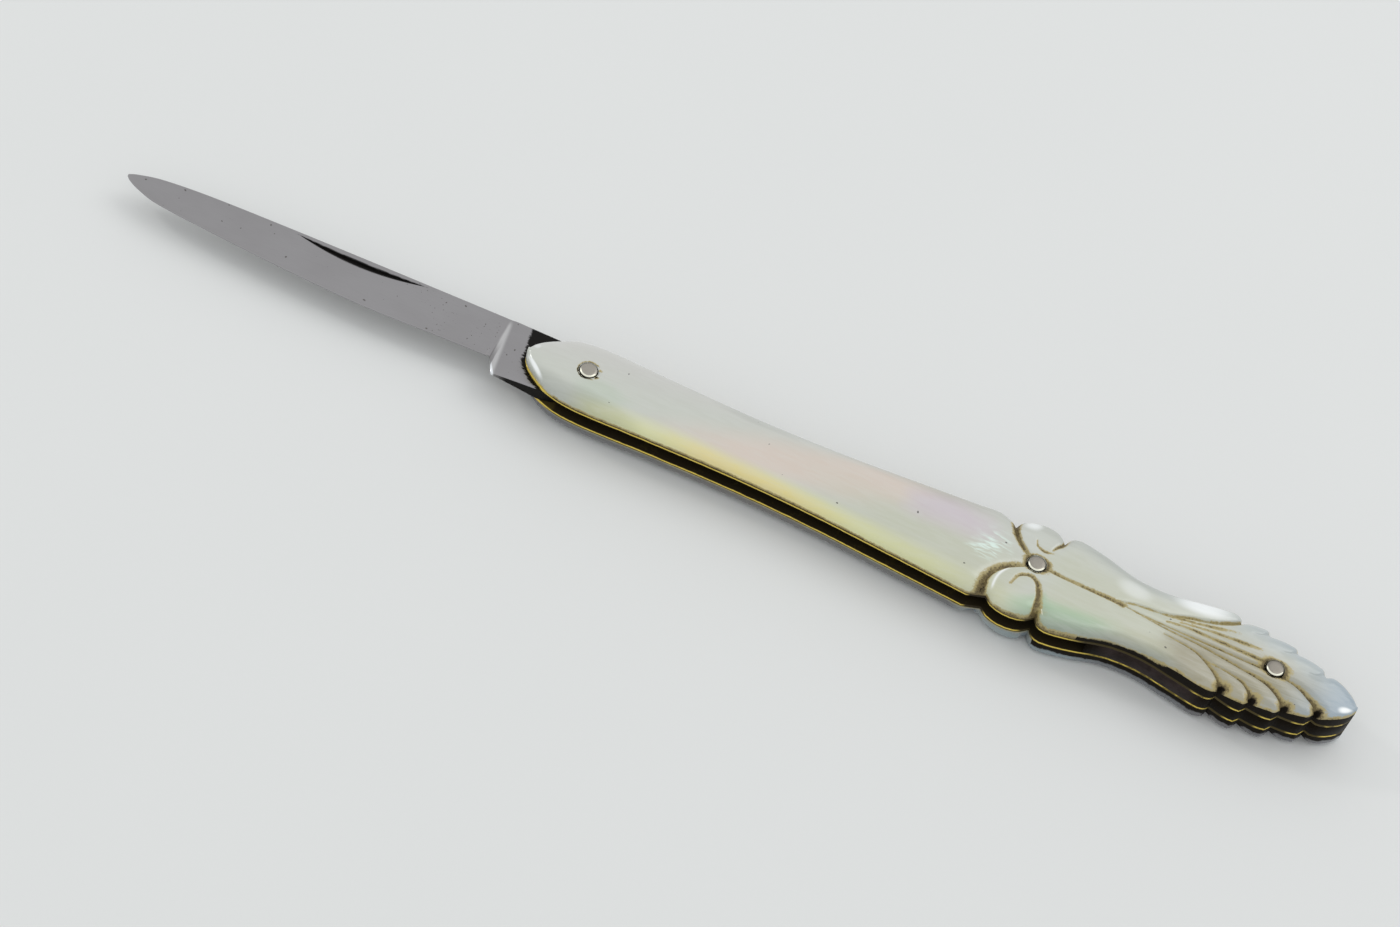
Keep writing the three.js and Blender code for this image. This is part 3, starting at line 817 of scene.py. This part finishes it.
def paint_play(f, colors, x, across, edge):
    """The pearl's play of colour, and painted shade along its rims; edge wanders less than across
    does.
    """
    f.paint((across - x * 0.02).ramp(-0.4, 0.9) * 0.3, colors.pearl_lilac)
    slant = abs(across - (x - 23) * 0.07)
    f.paint(slant.ramp(0.95, 0.15) * x.ramp(5, 17) * x.ramp(41, 33), colors.pearl_pink)
    f.paint(patch(x, across, (36, 0.4), (5, 0.6)), colors.pearl_lilac)
    f.paint(across.ramp(0.6, -0.3) * x.ramp(20, 34) * x.ramp(45, 42) * 0.75, colors.cream)
    lime = edge.ramp(-0.52, -1.0) * x.ramp(-2, 4) * x.ramp(42, 30, 0.25, 0.7)
    f.paint(lime, colors.pearl_lime)
    orange = edge.ramp(-0.68, -1.0) * x.ramp(8, 15) * x.ramp(32, 20)
    f.paint(orange * 0.5, colors.pearl_orange)
    green = patch(x, across, (49.5, -0.72), (5.5, 0.4)) * 0.8
    f.paint(green.most(patch(x, across, (2, -0.5), (4, 0.5)) * 0.25), colors.pearl_green)
    f.paint(patch(x, across, (50, -1.0), (6.0, 0.22)) * 0.6, colors.pearl_lilac)
    f.paint(x.ramp(43, 47) * x.ramp(66, 60) * across.ramp(0.9, 0.3) * 0.75, colors.cream)
    f.paint(patch(x, across, (48, -0.85), (5.5, 0.42)) * 0.95, colors.pearl_green)
    f.paint(patch(x, across, (56.5, -0.9), (5.5, 0.55)) * 0.55, DUSKY_PEARL)
    aged = x.ramp(54, 63) * x.ramp(76, 70) * across.ramp(1.0, -0.6)
    f.paint(aged.ramp(0, 0.7), colors.aged)
    cool = (x.ramp(67, 74) * 0.95).most(across.ramp(0.3, 0.9) * x.ramp(58, 70) * 0.6)
    cool = cool.most(across.ramp(0.6, 1.0) * x.ramp(45, 48) * 0.2)
    f.paint(cool, colors.pearl_blue)
    # Painted shade: the pearl greys towards its rim on the spring side, and towards its slot-side
    # rim at the waist and at the front end
    far = across.ramp(0.6, 1.05) * x.ramp(4, 12) * x.ramp(60, 52) * 0.6
    far = far.most(patch(x, across, (16, 1.0), (8, 0.55)) * 0.4)
    near = across.ramp(-0.55, -1.0) * x.ramp(44, 49) * x.ramp(62, 57) * 0.75
    near = near.most(patch(x, across, (0, -1.0), (9, 0.5)) * 0.45)
    f.paint(far.most(near), PEARL_EDGE_SHADE)


def paint_highlights(f, across):
    """Highlights on the pearl, where the photograph shows them."""
    x, y = f.along("X"), f.along("Y")
    # Painted highlights: soft white patches on rims and at the ends, and a line along the near
    # scroll's rim
    highlight = patch(x, across, (60.2, 0.84), (3.7, 0.32)) * 0.93
    highlight = highlight.most(patch(x, across, (53.8, 0.55), (2.4, 0.34)) * 0.6)
    highlight = highlight.most(patch(x + y * 1.15, y, (-6.5, -1.6), (0.38, 1.3)))
    highlight = highlight.most(patch(x, y, (-5.4, 0.6), (0.5, 0.5)) * 0.6)
    highlight = highlight.most(patch(x, across, (75.1, -0.5), (0.9, 0.3)))
    highlight = highlight.most(patch(x, across, (43.1, 0.88), (1.2, 0.2)) * 0.85)
    dx, dy = x - 45.0, y + 3.4
    scroll_rim_highlight = abs(dx * dx + dy * dy - 10.6).ramp(1.9, 0.0) * x.ramp(43.6, 42.2)
    highlight = highlight.most(scroll_rim_highlight * y.ramp(-4.4, -3.6) * 0.9)
    f.paint(highlight * highlight, PAINTED_HIGHLIGHT)


def paint_dirt(f, colors, x, across, grain):
    """Dirt on the pearl, and painted shade on the lower scale's slot-side wall; returns how
    soiled and how black each place is.
    """
    blotch = f.noise(1.1)
    dirt = f.attribute("stain")
    dirt = dirt + ((grain - 0.5) * 1.1 + (blotch - 0.5) * 0.9) * dirt.ramp(0, 0.25)
    f.paint(dirt.ramp(0.07, 0.36) * 0.9, colors.honey)
    f.paint(dirt.ramp(0.4, 0.8) * 0.95, colors.stain)
    grains = grain.ramp(0.5, 0.62) * dirt.ramp(0.45, 0.8)
    f.paint(grains * 0.75, DIRT_GRAIN)
    black = dirt.ramp(0.95, 1.25) * blotch.ramp(0.4, 0.6)
    grime = f.attribute("grime") + (grain - 0.5) * 0.4 + (blotch - 0.5) * 0.6
    black = black.most(grime.ramp(0.3, 0.55))
    # Painted shade: the lower scale's wall on the slot side, where it turns down to the floor, is
    # darkened, more along the plain grip, the waist and the fan
    under = f.along("Z").ramp(1.7, 1.3) * across.ramp(-0.6, -0.85)
    f.paint(under * 0.8, colors.shade)
    deep_shade = x.ramp(41, 38).most(x.ramp(50, 54) * 0.8).most(x.ramp(59, 63))
    f.paint(under * deep_shade * 0.75, PAINTED_UNDER_SHADE)
    f.paint(black, colors.grime)
    f.paint(f.noise(2.2, detail=0.0).ramp(0.885, 0.9) * 0.8, colors.grime)
    return dirt.ramp(0.15, 0.7).most(black), black


def pearl_material(colors):
    f = Finish("mother_of_pearl", colors.pearl)
    slow = f.noise(0.1, (1, 1.8, 1), detail=2.0) - 0.5
    slower = f.noise(0.05, (1, 2.2, 1), detail=2.0, distort=0.5) - 0.5
    x = f.along("X") + slow * 7
    across = f.attribute("across")
    wandering = across + slower * 0.5
    paint_play(f, colors, x, wandering, across + slower * 0.2)
    paint_highlights(f, across)
    streak = f.noise(1.3, (0.6, 2.2, 1), detail=1.5, distort=0.5)
    f.paint(patch(x, wandering, (39.8, 0.1), (2.8, 0.55)) * streak.ramp(0.42, 0.7), FLECK)
    layers = f.noise(1.0, (0.35, 2.4, 1), detail=4.0, rough=0.6, distort=0.7)
    f.paint(layers.ramp(0.3, 0.7, 0.0, 0.16), PALE_LAYER)
    grain = f.noise(5.0, detail=5.0, rough=0.75)
    soiled, black = paint_dirt(f, colors, x, across, grain)
    wave = f.noise(0.3, (0.6, 1.2, 1), detail=1.0)
    return f.done(
        Metallic=black * 0.9, Roughness=0.22 + soiled * 0.4, IOR=1.55,
        Coat_Weight=0.6 - soiled * 0.58, Coat_Roughness=0.2, Coat_IOR=1.6,
        Normal=f.bump(wave * 0.6 + grain * soiled * 0.5, 0.05, 0.6),
    )


def brass_material(colors):
    """Bright brass under a dark skin, which is worn off along the outer edges."""
    f = Finish("liner_brass", colors.brass)
    x, z = f.along("X"), f.along("Z")
    patches = f.noise(0.9, detail=5.0, rough=0.65)
    upper = z.ramp(BLADE_MIDDLE - 0.2, BLADE_MIDDLE + 0.2)
    covered = x.ramp(-3.5, -1.0, 0.3, 0.98).most((1.0 - upper) * 0.94)
    inner = abs(f.facing("Z")).ramp(0.6, 0.95) * covered
    layer = abs(z - BLADE_MIDDLE) + (patches - 0.5) * 0.12
    faint = layer.ramp(1.02, 0.98, 0.97, 0.85)
    seam = (layer.ramp(0.91, 0.95) * faint).most(layer.ramp(0.8, 0.76)) * x.ramp(-3.5, -1.5)
    scrolls = x.ramp(39.8, 40.3) * x.ramp(42.3, 41.8)
    scrolls = scrolls.most(x.ramp(45.2, 45.8) * x.ramp(47.2, 46.6) * 0.97)
    waist = x.ramp(49.5, 51.5) * x.ramp(62.5, 61.5) * upper
    notches = [notch for notch, half in notches_of(SLOT_SIDE)]
    pitch = (notches[-1] - notches[0]) / (len(notches) - 1)
    phase = ((x - notches[0]) / pitch).fraction()
    worn = phase.ramp(0.4, 0.62) * phase.ramp(1.0, 0.93)
    fan = x.ramp(62.2, 62.6) * (1.0 - worn * patches.ramp(0.65, 0.45))
    skin = inner.most(seam).most(scrolls).most(waist * 0.97).most(fan * 0.95)
    dulled = x.ramp(51, 53) * x.ramp(62.3, 61.5) * patches.ramp(0.4, 0.58)
    skin = skin.most(patches.ramp(0.62, 0.8) * 0.8).most(dulled * 0.85)
    f.paint(skin, colors.tarnish)
    fine = f.noise(9.0, (0.2, 1, 1))
    return f.done(
        Metallic=1.0 - skin * 0.3, Roughness=0.24 + skin * 0.3 + fine * 0.1,
        Normal=f.bump(fine, 0.01, 0.5),
    )


def spring_material(colors):
    """Dark steel in the slot, brighter at the waist, and a polished back."""
    f = Finish("spring_steel", colors.grime)
    x = f.along("X")
    scratches = f.noise(3.0, (0.25, 1, 6), detail=5.0, rough=0.7)
    blotch = f.noise(0.7, detail=4.0)
    polished = x.ramp(51.8, 54.5) * x.ramp(64.0, 60.5)
    f.paint(polished * blotch.ramp(0.3, 0.6, 0.4, 1.0), colors.spring)
    f.paint(scratches.ramp(0.6, 0.75) * polished * 0.3, SPRING_SCRATCH)
    streaks = f.noise(1.2, (0.12, 1, 1.5))
    back = f.mix(streaks.ramp(0.35, 0.75) * 0.6, colors.blade, SPRING_STREAK)
    f.paint(f.facing("Y").ramp(0.4, 0.8), back)
    return f.done(
        Metallic=1.0, Roughness=0.5 - polished * 0.2 + blotch * 0.1,
        Normal=f.bump(scratches, 0.01, 0.5),
    )


def blade_material(colors):
    """Old polished steel with pits, black patina beside the handle and in the nick, painted shade
    on faces turned to the slot by the ricasso, a painted highlight on the plunge and a painted
    glint at the kick's corner.
    """
    f = Finish("blade_steel", colors.blade)
    x, y = f.along("X"), f.along("Y")
    fine = f.noise(5.0, (0.12, 2.4, 2.4), detail=6.0, rough=0.7)
    cloud = f.noise(0.12, (1, 2, 1))
    specks = f.noise(2.1, detail=1.0, rough=0.4).ramp(0.75, 0.77)
    pitted = f.noise(0.25, detail=1.0).ramp(0.48, 0.6) * x.ramp(-27, -16)
    pits = f.noise(4.5, detail=1.0).ramp(0.71, 0.74) * pitted
    ragged = f.noise(2.6, (0.5, 2.2, 1), detail=5.0, rough=0.7) - 0.5
    front = x - y * y * 0.3 + ragged * 1.7
    corner = (x + y * 0.16 + ragged * 0.9).ramp(-6.5, -6.3) * (y + ragged * 0.8).ramp(-0.3, 0.1)
    patina = front.ramp(-6.55, -6.25).most(corner)
    # Painted shade: faces turned to the slot near the ricasso and kick take the patina colour
    shaded_side = f.facing("Y").ramp(-0.75, -0.9) * x.ramp(-8.4, -6.6)
    dark = patina.most(f.attribute("grime")).most(shaded_side)
    f.paint(cloud.ramp(0.35, 0.65, 0.0, 0.22), STEEL_CLOUD)
    f.paint(fine.ramp(0.45, 0.75) * 0.16, STEEL_GRAIN)
    f.paint(specks.most(pits) * 0.75, STEEL_PIT)
    f.paint(dark, colors.patina)
    # Painted highlight: a pale band along the plunge line
    plunge_highlight = x.ramp(-9.22, -9.0) * (x + (y - 2.8) * 0.13).ramp(-8.6, -9.0) * y.ramp(3.5, 2.4)
    f.paint(plunge_highlight * 0.85, PLUNGE_HIGHLIGHT)
    # Painted glint: a bright streak at the corner of the kick
    glint = (x + (y + 1.6) * 0.6).ramp(-8.92, -9.08) * y.ramp(-1.5, -3.0) * x.ramp(-9.3, -9.1)
    f.paint(glint, KICK_GLINT)
    return f.done(
        Metallic=1.0 - dark * 0.2, Roughness=0.27 + fine * 0.09 + dark * 0.25,
        Normal=f.bump(fine + pits * -0.5, 0.004, 0.6),
    )


def pin_material(colors):
    """Worn white metal, with a painted glint on the near side of each head's rim, head walls dark
    with dirt and painted shade, and painted shade that darkens the pins towards the butt.
    """
    f = Finish("pin_metal", colors.pin)
    wear = f.noise(3.0, detail=5.0, rough=0.7)
    scratch = f.noise(14.0, (1, 0.2, 1), detail=4.0)
    f.paint(wear.ramp(0.45, 0.7) * 0.5, PIN_WEAR)
    # Painted shade: the pins grow darker towards the butt
    f.paint(f.along("X").ramp(10, 75) * 0.8, PIN_BUTT_SHADE)
    up, away = f.facing("Z"), f.facing("Y")
    # Painted glint along the near side of each head's rim
    f.paint(up.ramp(0.985, 0.94) * away.ramp(-0.03, -0.2), PIN_GLINT)
    # Head walls painted dark: dirt, and painted shade on the walls
    f.paint(up.ramp(0.6, 0.35), PIN_WALL_DIRT_AND_SHADE)
    normal = f.bump(scratch + wear, 0.01, 0.7)
    return f.done(Metallic=1.0, Roughness=0.3 + wear * 0.14, Normal=normal)


def floor_material(colors):
    f = Finish("pale_floor", colors.floor)
    f.paint(f.noise(0.02, detail=2.0).ramp(0.3, 0.7) * 0.06, FLOOR_CLOUD)
    return f.done(Roughness=0.9, Specular_IOR_Level=0.1)


# Blade


PLUNGE_X = -8.95
BACK_Y = 3.4
SHOULDER_X = -2.62
NICK_X, NICK_HALF = -24.3, 6.6
KICK = [(-9.65, -1.22), (-9.5, -1.12), (-9.3, -1.14), (-9.15, -1.4), (-9.0, -1.7),
        (-8.3, -3.2), (-8.22, -3.31), (-8.1, -3.34), (-5.3, -3.08), (-3.35, -2.93),
        (-2.0, -2.56), (-0.6, -2.1)]
SPINE = curve([(TIP_X, 1.4), (TIP_X + 0.8, 1.77), (TIP_X + 3.0, 2.26), (TIP_X + 7.5, 2.7),
               (TIP_X + 15, 2.97), (-22, 3.2), (PLUNGE_X, BACK_Y)], 60)
EDGE = curve([(TIP_X, 1.18), (TIP_X + 0.5, 0.75), (TIP_X + 1.8, 0.14), (TIP_X + 4.3, -0.52),
              (TIP_X + 11, -1.07), (-30, -1.5), (-22, -1.72), (-15, -1.42), KICK[0]], 60)
# Shares of the blade's breadth, from the cutting edge to the spine
BLADE_ROWS = np.concatenate([
    [0, 0.004, 0.02], np.linspace(0.05, 0.66, 15), np.linspace(0.68, 0.97, 46),
    [0.98, 0.988, 0.994, 1.0],
])


def tang_round(x):
    """Half width of the round end of the tang."""
    return np.sqrt(np.clip(TANG_X**2 - x**2, 0.01, None))


def blade_top(x):
    """Height of the spine, the shoulder and the round of the tang."""
    y = np.interp(x, SPINE[:, 0], SPINE[:, 1])
    y = np.where(x > PLUNGE_X, BACK_Y, y)
    return np.where(x > SHOULDER_X, tang_round(np.maximum(x, 0)), y)


def blade_bottom(x):
    """Height of the cutting edge, the kick and the round of the tang."""
    outline = np.vstack([EDGE, KICK[1:]])
    y = np.interp(x, outline[:, 0], outline[:, 1])
    return np.where(x > KICK[-1][0], -tang_round(x), y)


def blade_columns():
    """Places along the blade, close together at the tip, the nick and the plunge."""
    places = [
        TIP_X + (5 * np.linspace(0, 1, 24) ** 1.5)[:-1],
        np.arange(TIP_X + 5, NICK_X - NICK_HALF, 0.3),
        np.arange(NICK_X - NICK_HALF, NICK_X + NICK_HALF, 0.12),
        np.arange(NICK_X + NICK_HALF, PLUNGE_X - 0.9, 0.3),
        np.arange(PLUNGE_X - 0.9, PLUNGE_X + 1.2, 0.05),
        np.arange(PLUNGE_X + 1.2, SHOULDER_X - 0.05, 0.2),
        [SHOULDER_X - 0.001, SHOULDER_X + 0.001],
        np.arange(SHOULDER_X + 0.1, TANG_X - 0.1, 0.12),
        TANG_X - np.array([0.08, 0.04, 0.015, 0.0]),
    ]
    return np.unique(np.concatenate(places))


def grind_half(x, share, sizes):
    """Half the blade's thickness at a place, before nick and heel."""
    full = TANG_THICKNESS / 2
    edge = sizes.edge / MM / 2
    tip = sizes.tip / MM
    along = np.clip((x - TIP_X) / (PLUNGE_X - TIP_X), 0, 1)
    spine = (tip + (TANG_THICKNESS - tip) * along) / 2
    spine = spine * (0.3 + 0.7 * smoothstep(0, 3.5, x - TIP_X))
    ground = edge + (spine - edge) * np.clip(share / 0.9, 0, 1) ** 0.96
    ground = ground - 0.1 * spine * smoothstep(0.84, 1.0, share)
    step = np.clip((x - PLUNGE_X) / (sizes.plunge / MM) + 0.5, 0, 1)
    hollow = 0.03 * np.exp(-(((x - PLUNGE_X) / (0.6 * sizes.plunge / MM)) ** 2))
    half = ground + (full - ground) * step - hollow
    corner = sizes.chamfer / MM
    at_spine = corner * smoothstep(0.985, 1.0, share)
    at_belly = corner * step * (1 - smoothstep(0, 0.02, share))
    return np.maximum(half - (at_spine + at_belly), edge)


def nick_cut(x, y, sizes):
    """Depth of the thumbnail groove and how dark it is, from 0 to 1."""
    t = np.clip(np.abs(x - NICK_X) / NICK_HALF, 0, 1)
    deep = 1 - t**2
    upper = np.interp(x, SPINE[:, 0], SPINE[:, 1]) - 0.36 - 0.16 * deep
    reach = np.maximum(sizes.nick_width / MM * deep, 0.02)
    down = (upper - y) / reach
    inside = (down > 0) & (down < 1) & (t < 1)
    fall = np.clip(down / 0.14, 0, 1) * (1 - np.clip(down, 0, 1)) ** 0.8
    cut = np.where(inside, sizes.nick_depth / MM * deep**0.7 * fall, 0)
    dark = smoothstep(0.0, 0.06, down) * (1 - smoothstep(0.72, 1.0, down))
    return cut, np.where(inside, dark, 0)


def build_blade(material, sizes):
    columns, shares = blade_columns(), BLADE_ROWS
    low, high = blade_bottom(columns), blade_top(columns)
    bm = bmesh.new()
    grime_layer = bm.verts.layers.float.new("grime")
    rims = []
    for up in (1, -1):
        verts, column, row = grid_indices(bm, len(columns), len(shares))
        x, share = columns[column], shares[row]
        y = low[column] + share * (high[column] - low[column])
        half = grind_half(x, share, sizes)
        grime = np.zeros(x.shape)
        if up > 0:
            cut, grime = nick_cut(x, y, sizes)
            half = half - cut
        else:
            # The kick's corner is bevelled on the under side
            thin = np.clip((-3.6 - x) / 4.4, 0, 1) * smoothstep(-0.8, -3.0, y) * (x > PLUNGE_X)
            half = half - thin * (TANG_THICKNESS - sizes.heel / MM)
        move_to(verts, x, y, BLADE_MIDDLE + up * half)
        for vertex, dirt in zip(verts, grime):
            vertex[grime_layer] = dirt
        if up < 0:
            faces = {face for vertex in verts for face in vertex.link_faces}
            bmesh.ops.reverse_faces(bm, faces=list(faces))
        rims.extend(boundary(verts))
    bmesh.ops.bridge_loops(bm, edges=rims)
    bmesh.ops.recalc_face_normals(bm, faces=bm.faces)
    piece = finish_mesh(bm, "knife_blade", material, smooth_angle=40)
    seat(piece, BLADE, "blade")


# Pins


def turned_pin(node, center, material):
    """A rivet: a straight shank with two heads, the upper one with a worn round rim."""
    low, high = (corner[2] for corner in node_box(node))
    profile = [
        (0, low), (0.9, low), (1, low + 0.06), (1, low + 0.35), (0.72, low + 0.36),
        (0.72, high - 0.48), (1, high - 0.47), (1, high - 0.12), (0.95, high - 0.065),
        (0.83, high - 0.018), (0.68, high - 0.004), (0.35, high), (0, high),
    ]
    bm = bmesh.new()
    verts = [
        bm.verts.new(place(center[0] + share * HEAD_RADIUS, center[1], z))
        for share, z in profile
    ]
    edges = [bm.edges.new(pair) for pair in zip(verts[:-1], verts[1:])]
    bmesh.ops.spin(
        bm, geom=verts + edges, cent=place(center[0], center[1], 0), axis=(0, 0, 1),
        dvec=(0, 0, 0), angle=2 * math.pi, steps=48, use_merge=True, use_duplicate=False,
    )
    bmesh.ops.remove_doubles(bm, verts=bm.verts, dist=0.0005 * MM)
    bmesh.ops.recalc_face_normals(bm, faces=bm.faces)
    return finish_mesh(bm, node + "_metal", material, smooth_angle=40)


# Stage


SKY_TINT = (0.97, 0.99, 1.0)


def add_floor(material):
    """A plane just under the knife's rest face."""
    bm = bmesh.new()
    under = Matrix.Translation((0, 0, -0.02 * MM))
    bmesh.ops.create_grid(bm, x_segments=8, y_segments=8, size=1.5, matrix=under)
    finish_mesh(bm, "floor", material)


def add_lamp(name, spot, size, power):
    """A round lamp that shines at the middle of the floor."""
    lamp = bpy.data.lights.new(name, "AREA")
    lamp.shape = "DISK"
    lamp.size = size
    lamp.energy = power
    holder = linked(name, lamp)
    holder.location = spot
    holder.rotation_euler = (-Vector(spot)).to_track_quat("-Z", "Y").to_euler()


def add_sky(strength):
    world = bpy.data.worlds.new("room")
    bpy.context.scene.world = world
    world.use_nodes = True
    background = world.node_tree.nodes["Background"]
    background.inputs[0].default_value = (*SKY_TINT, 1)
    background.inputs[1].default_value = strength


def add_camera(sizes):
    lens = bpy.data.cameras.new("camera")
    lens.lens = sizes.lens
    lens.sensor_width = sizes.sensor
    lens.clip_start = 0.01
    camera = linked("camera", lens)
    camera.location = sizes.camera_place
    camera.rotation_euler = sizes.camera_turn
    bpy.context.scene.camera = camera


# Operators


class Step:
    """What every step's operator does."""

    def execute(self, context):
        self.build(context.scene.quill_knife)
        return {"FINISHED"}


class KNIFE_OT_scales(Step, bpy.types.Operator):
    """Carve the two pearl scales"""

    bl_idname = "knife.scales"
    bl_label = "Pearl Scales"

    def build(self, knife):
        both = pearl_material(knife.finishes), knife.scales
        build_scale("upper_pearl", "top_scale", UPPER_FACE, *both, up=1, fine=0.075, rows=120)
        build_scale("lower_pearl", "bottom_scale", LOWER_FACE, *both, up=-1, fine=0.12, rows=70)


class KNIFE_OT_liners(Step, bpy.types.Operator):
    """Lay the brass liners under the scales"""

    bl_idname = "knife.liners"
    bl_label = "Brass Liners"

    def build(self, knife):
        brass = brass_material(knife.finishes)
        for node, name in (("top_liner", "upper_brass"), ("bottom_liner", "lower_brass")):
            liner = bevelled_copy(node, name, brass, 0.04, rounded=True)
            seat(liner, HANDLE, node)


class KNIFE_OT_spring(Step, bpy.types.Operator):
    """Set the back spring between the liners"""

    bl_idname = "knife.spring"
    bl_label = "Back Spring"

    def build(self, knife):
        steel = spring_material(knife.finishes)
        spring = bevelled_copy("back_spring", "steel_spring", steel, 0.06)
        seat(spring, HANDLE, "back_spring")


class KNIFE_OT_blade(Step, bpy.types.Operator):
    """Grind the blade with its tang and thumbnail groove"""

    bl_idname = "knife.blade"
    bl_label = "Blade"

    def build(self, knife):
        build_blade(blade_material(knife.finishes), knife.blade)


class KNIFE_OT_pins(Step, bpy.types.Operator):
    """Turn the three pins"""

    bl_idname = "knife.pins"
    bl_label = "Pins"

    def build(self, knife):
        metal = pin_material(knife.finishes)
        for node, center in PINS.items():
            seat(turned_pin(node, center, metal), HANDLE, node)


class KNIFE_OT_stage(Step, bpy.types.Operator):
    """Set the floor, the lamps and the camera"""

    bl_idname = "knife.stage"
    bl_label = "Stage"

    def build(self, knife):
        sizes = knife.stage
        add_floor(floor_material(knife.finishes))
        add_lamp("key", (0.26, 0.25, 0.46), 0.42, sizes.key)
        add_lamp("side", (-0.45, 0.06, 0.29), 0.06, sizes.side)
        add_sky(sizes.sky)
        add_camera(sizes)
        bpy.context.scene.view_settings.view_transform = "Standard"


class KNIFE_PT_panel(bpy.types.Panel):
    """Lists the steps and the sizes"""

    bl_label = "Quill Knife"
    bl_idname = "KNIFE_PT_panel"
    bl_space_type = "VIEW_3D"
    bl_region_type = "UI"
    bl_category = "Quill Knife"

    def draw(self, context):
        layout = self.layout
        for operator in OPERATORS:
            layout.operator(operator.bl_idname)
        for group in ("scales", "blade", "finishes", "stage"):
            values = getattr(context.scene.quill_knife, group)
            box = layout.box()
            box.label(text=group.capitalize())
            for name in type(values).__annotations__:
                box.prop(values, name, text=name.replace("_", " ").capitalize())


OPERATORS = (KNIFE_OT_stage, KNIFE_OT_scales, KNIFE_OT_liners, KNIFE_OT_spring,
             KNIFE_OT_blade, KNIFE_OT_pins)
CLASSES = (ScaleSizes, BladeSizes, Finishes, StageSizes, QuillKnife, *OPERATORS, KNIFE_PT_panel)


def register():
    for item in CLASSES:
        bpy.utils.register_class(item)
    bpy.types.Scene.quill_knife = bpy.props.PointerProperty(type=QuillKnife)


def unregister():
    del bpy.types.Scene.quill_knife
    for item in reversed(CLASSES):
        bpy.utils.unregister_class(item)


def main():
    register()
    bpy.ops.knife.stage()
    bpy.ops.knife.scales()
    bpy.ops.knife.liners()
    bpy.ops.knife.spring()
    bpy.ops.knife.blade()
    bpy.ops.knife.pins()


if __name__ == "__main__":
    main()
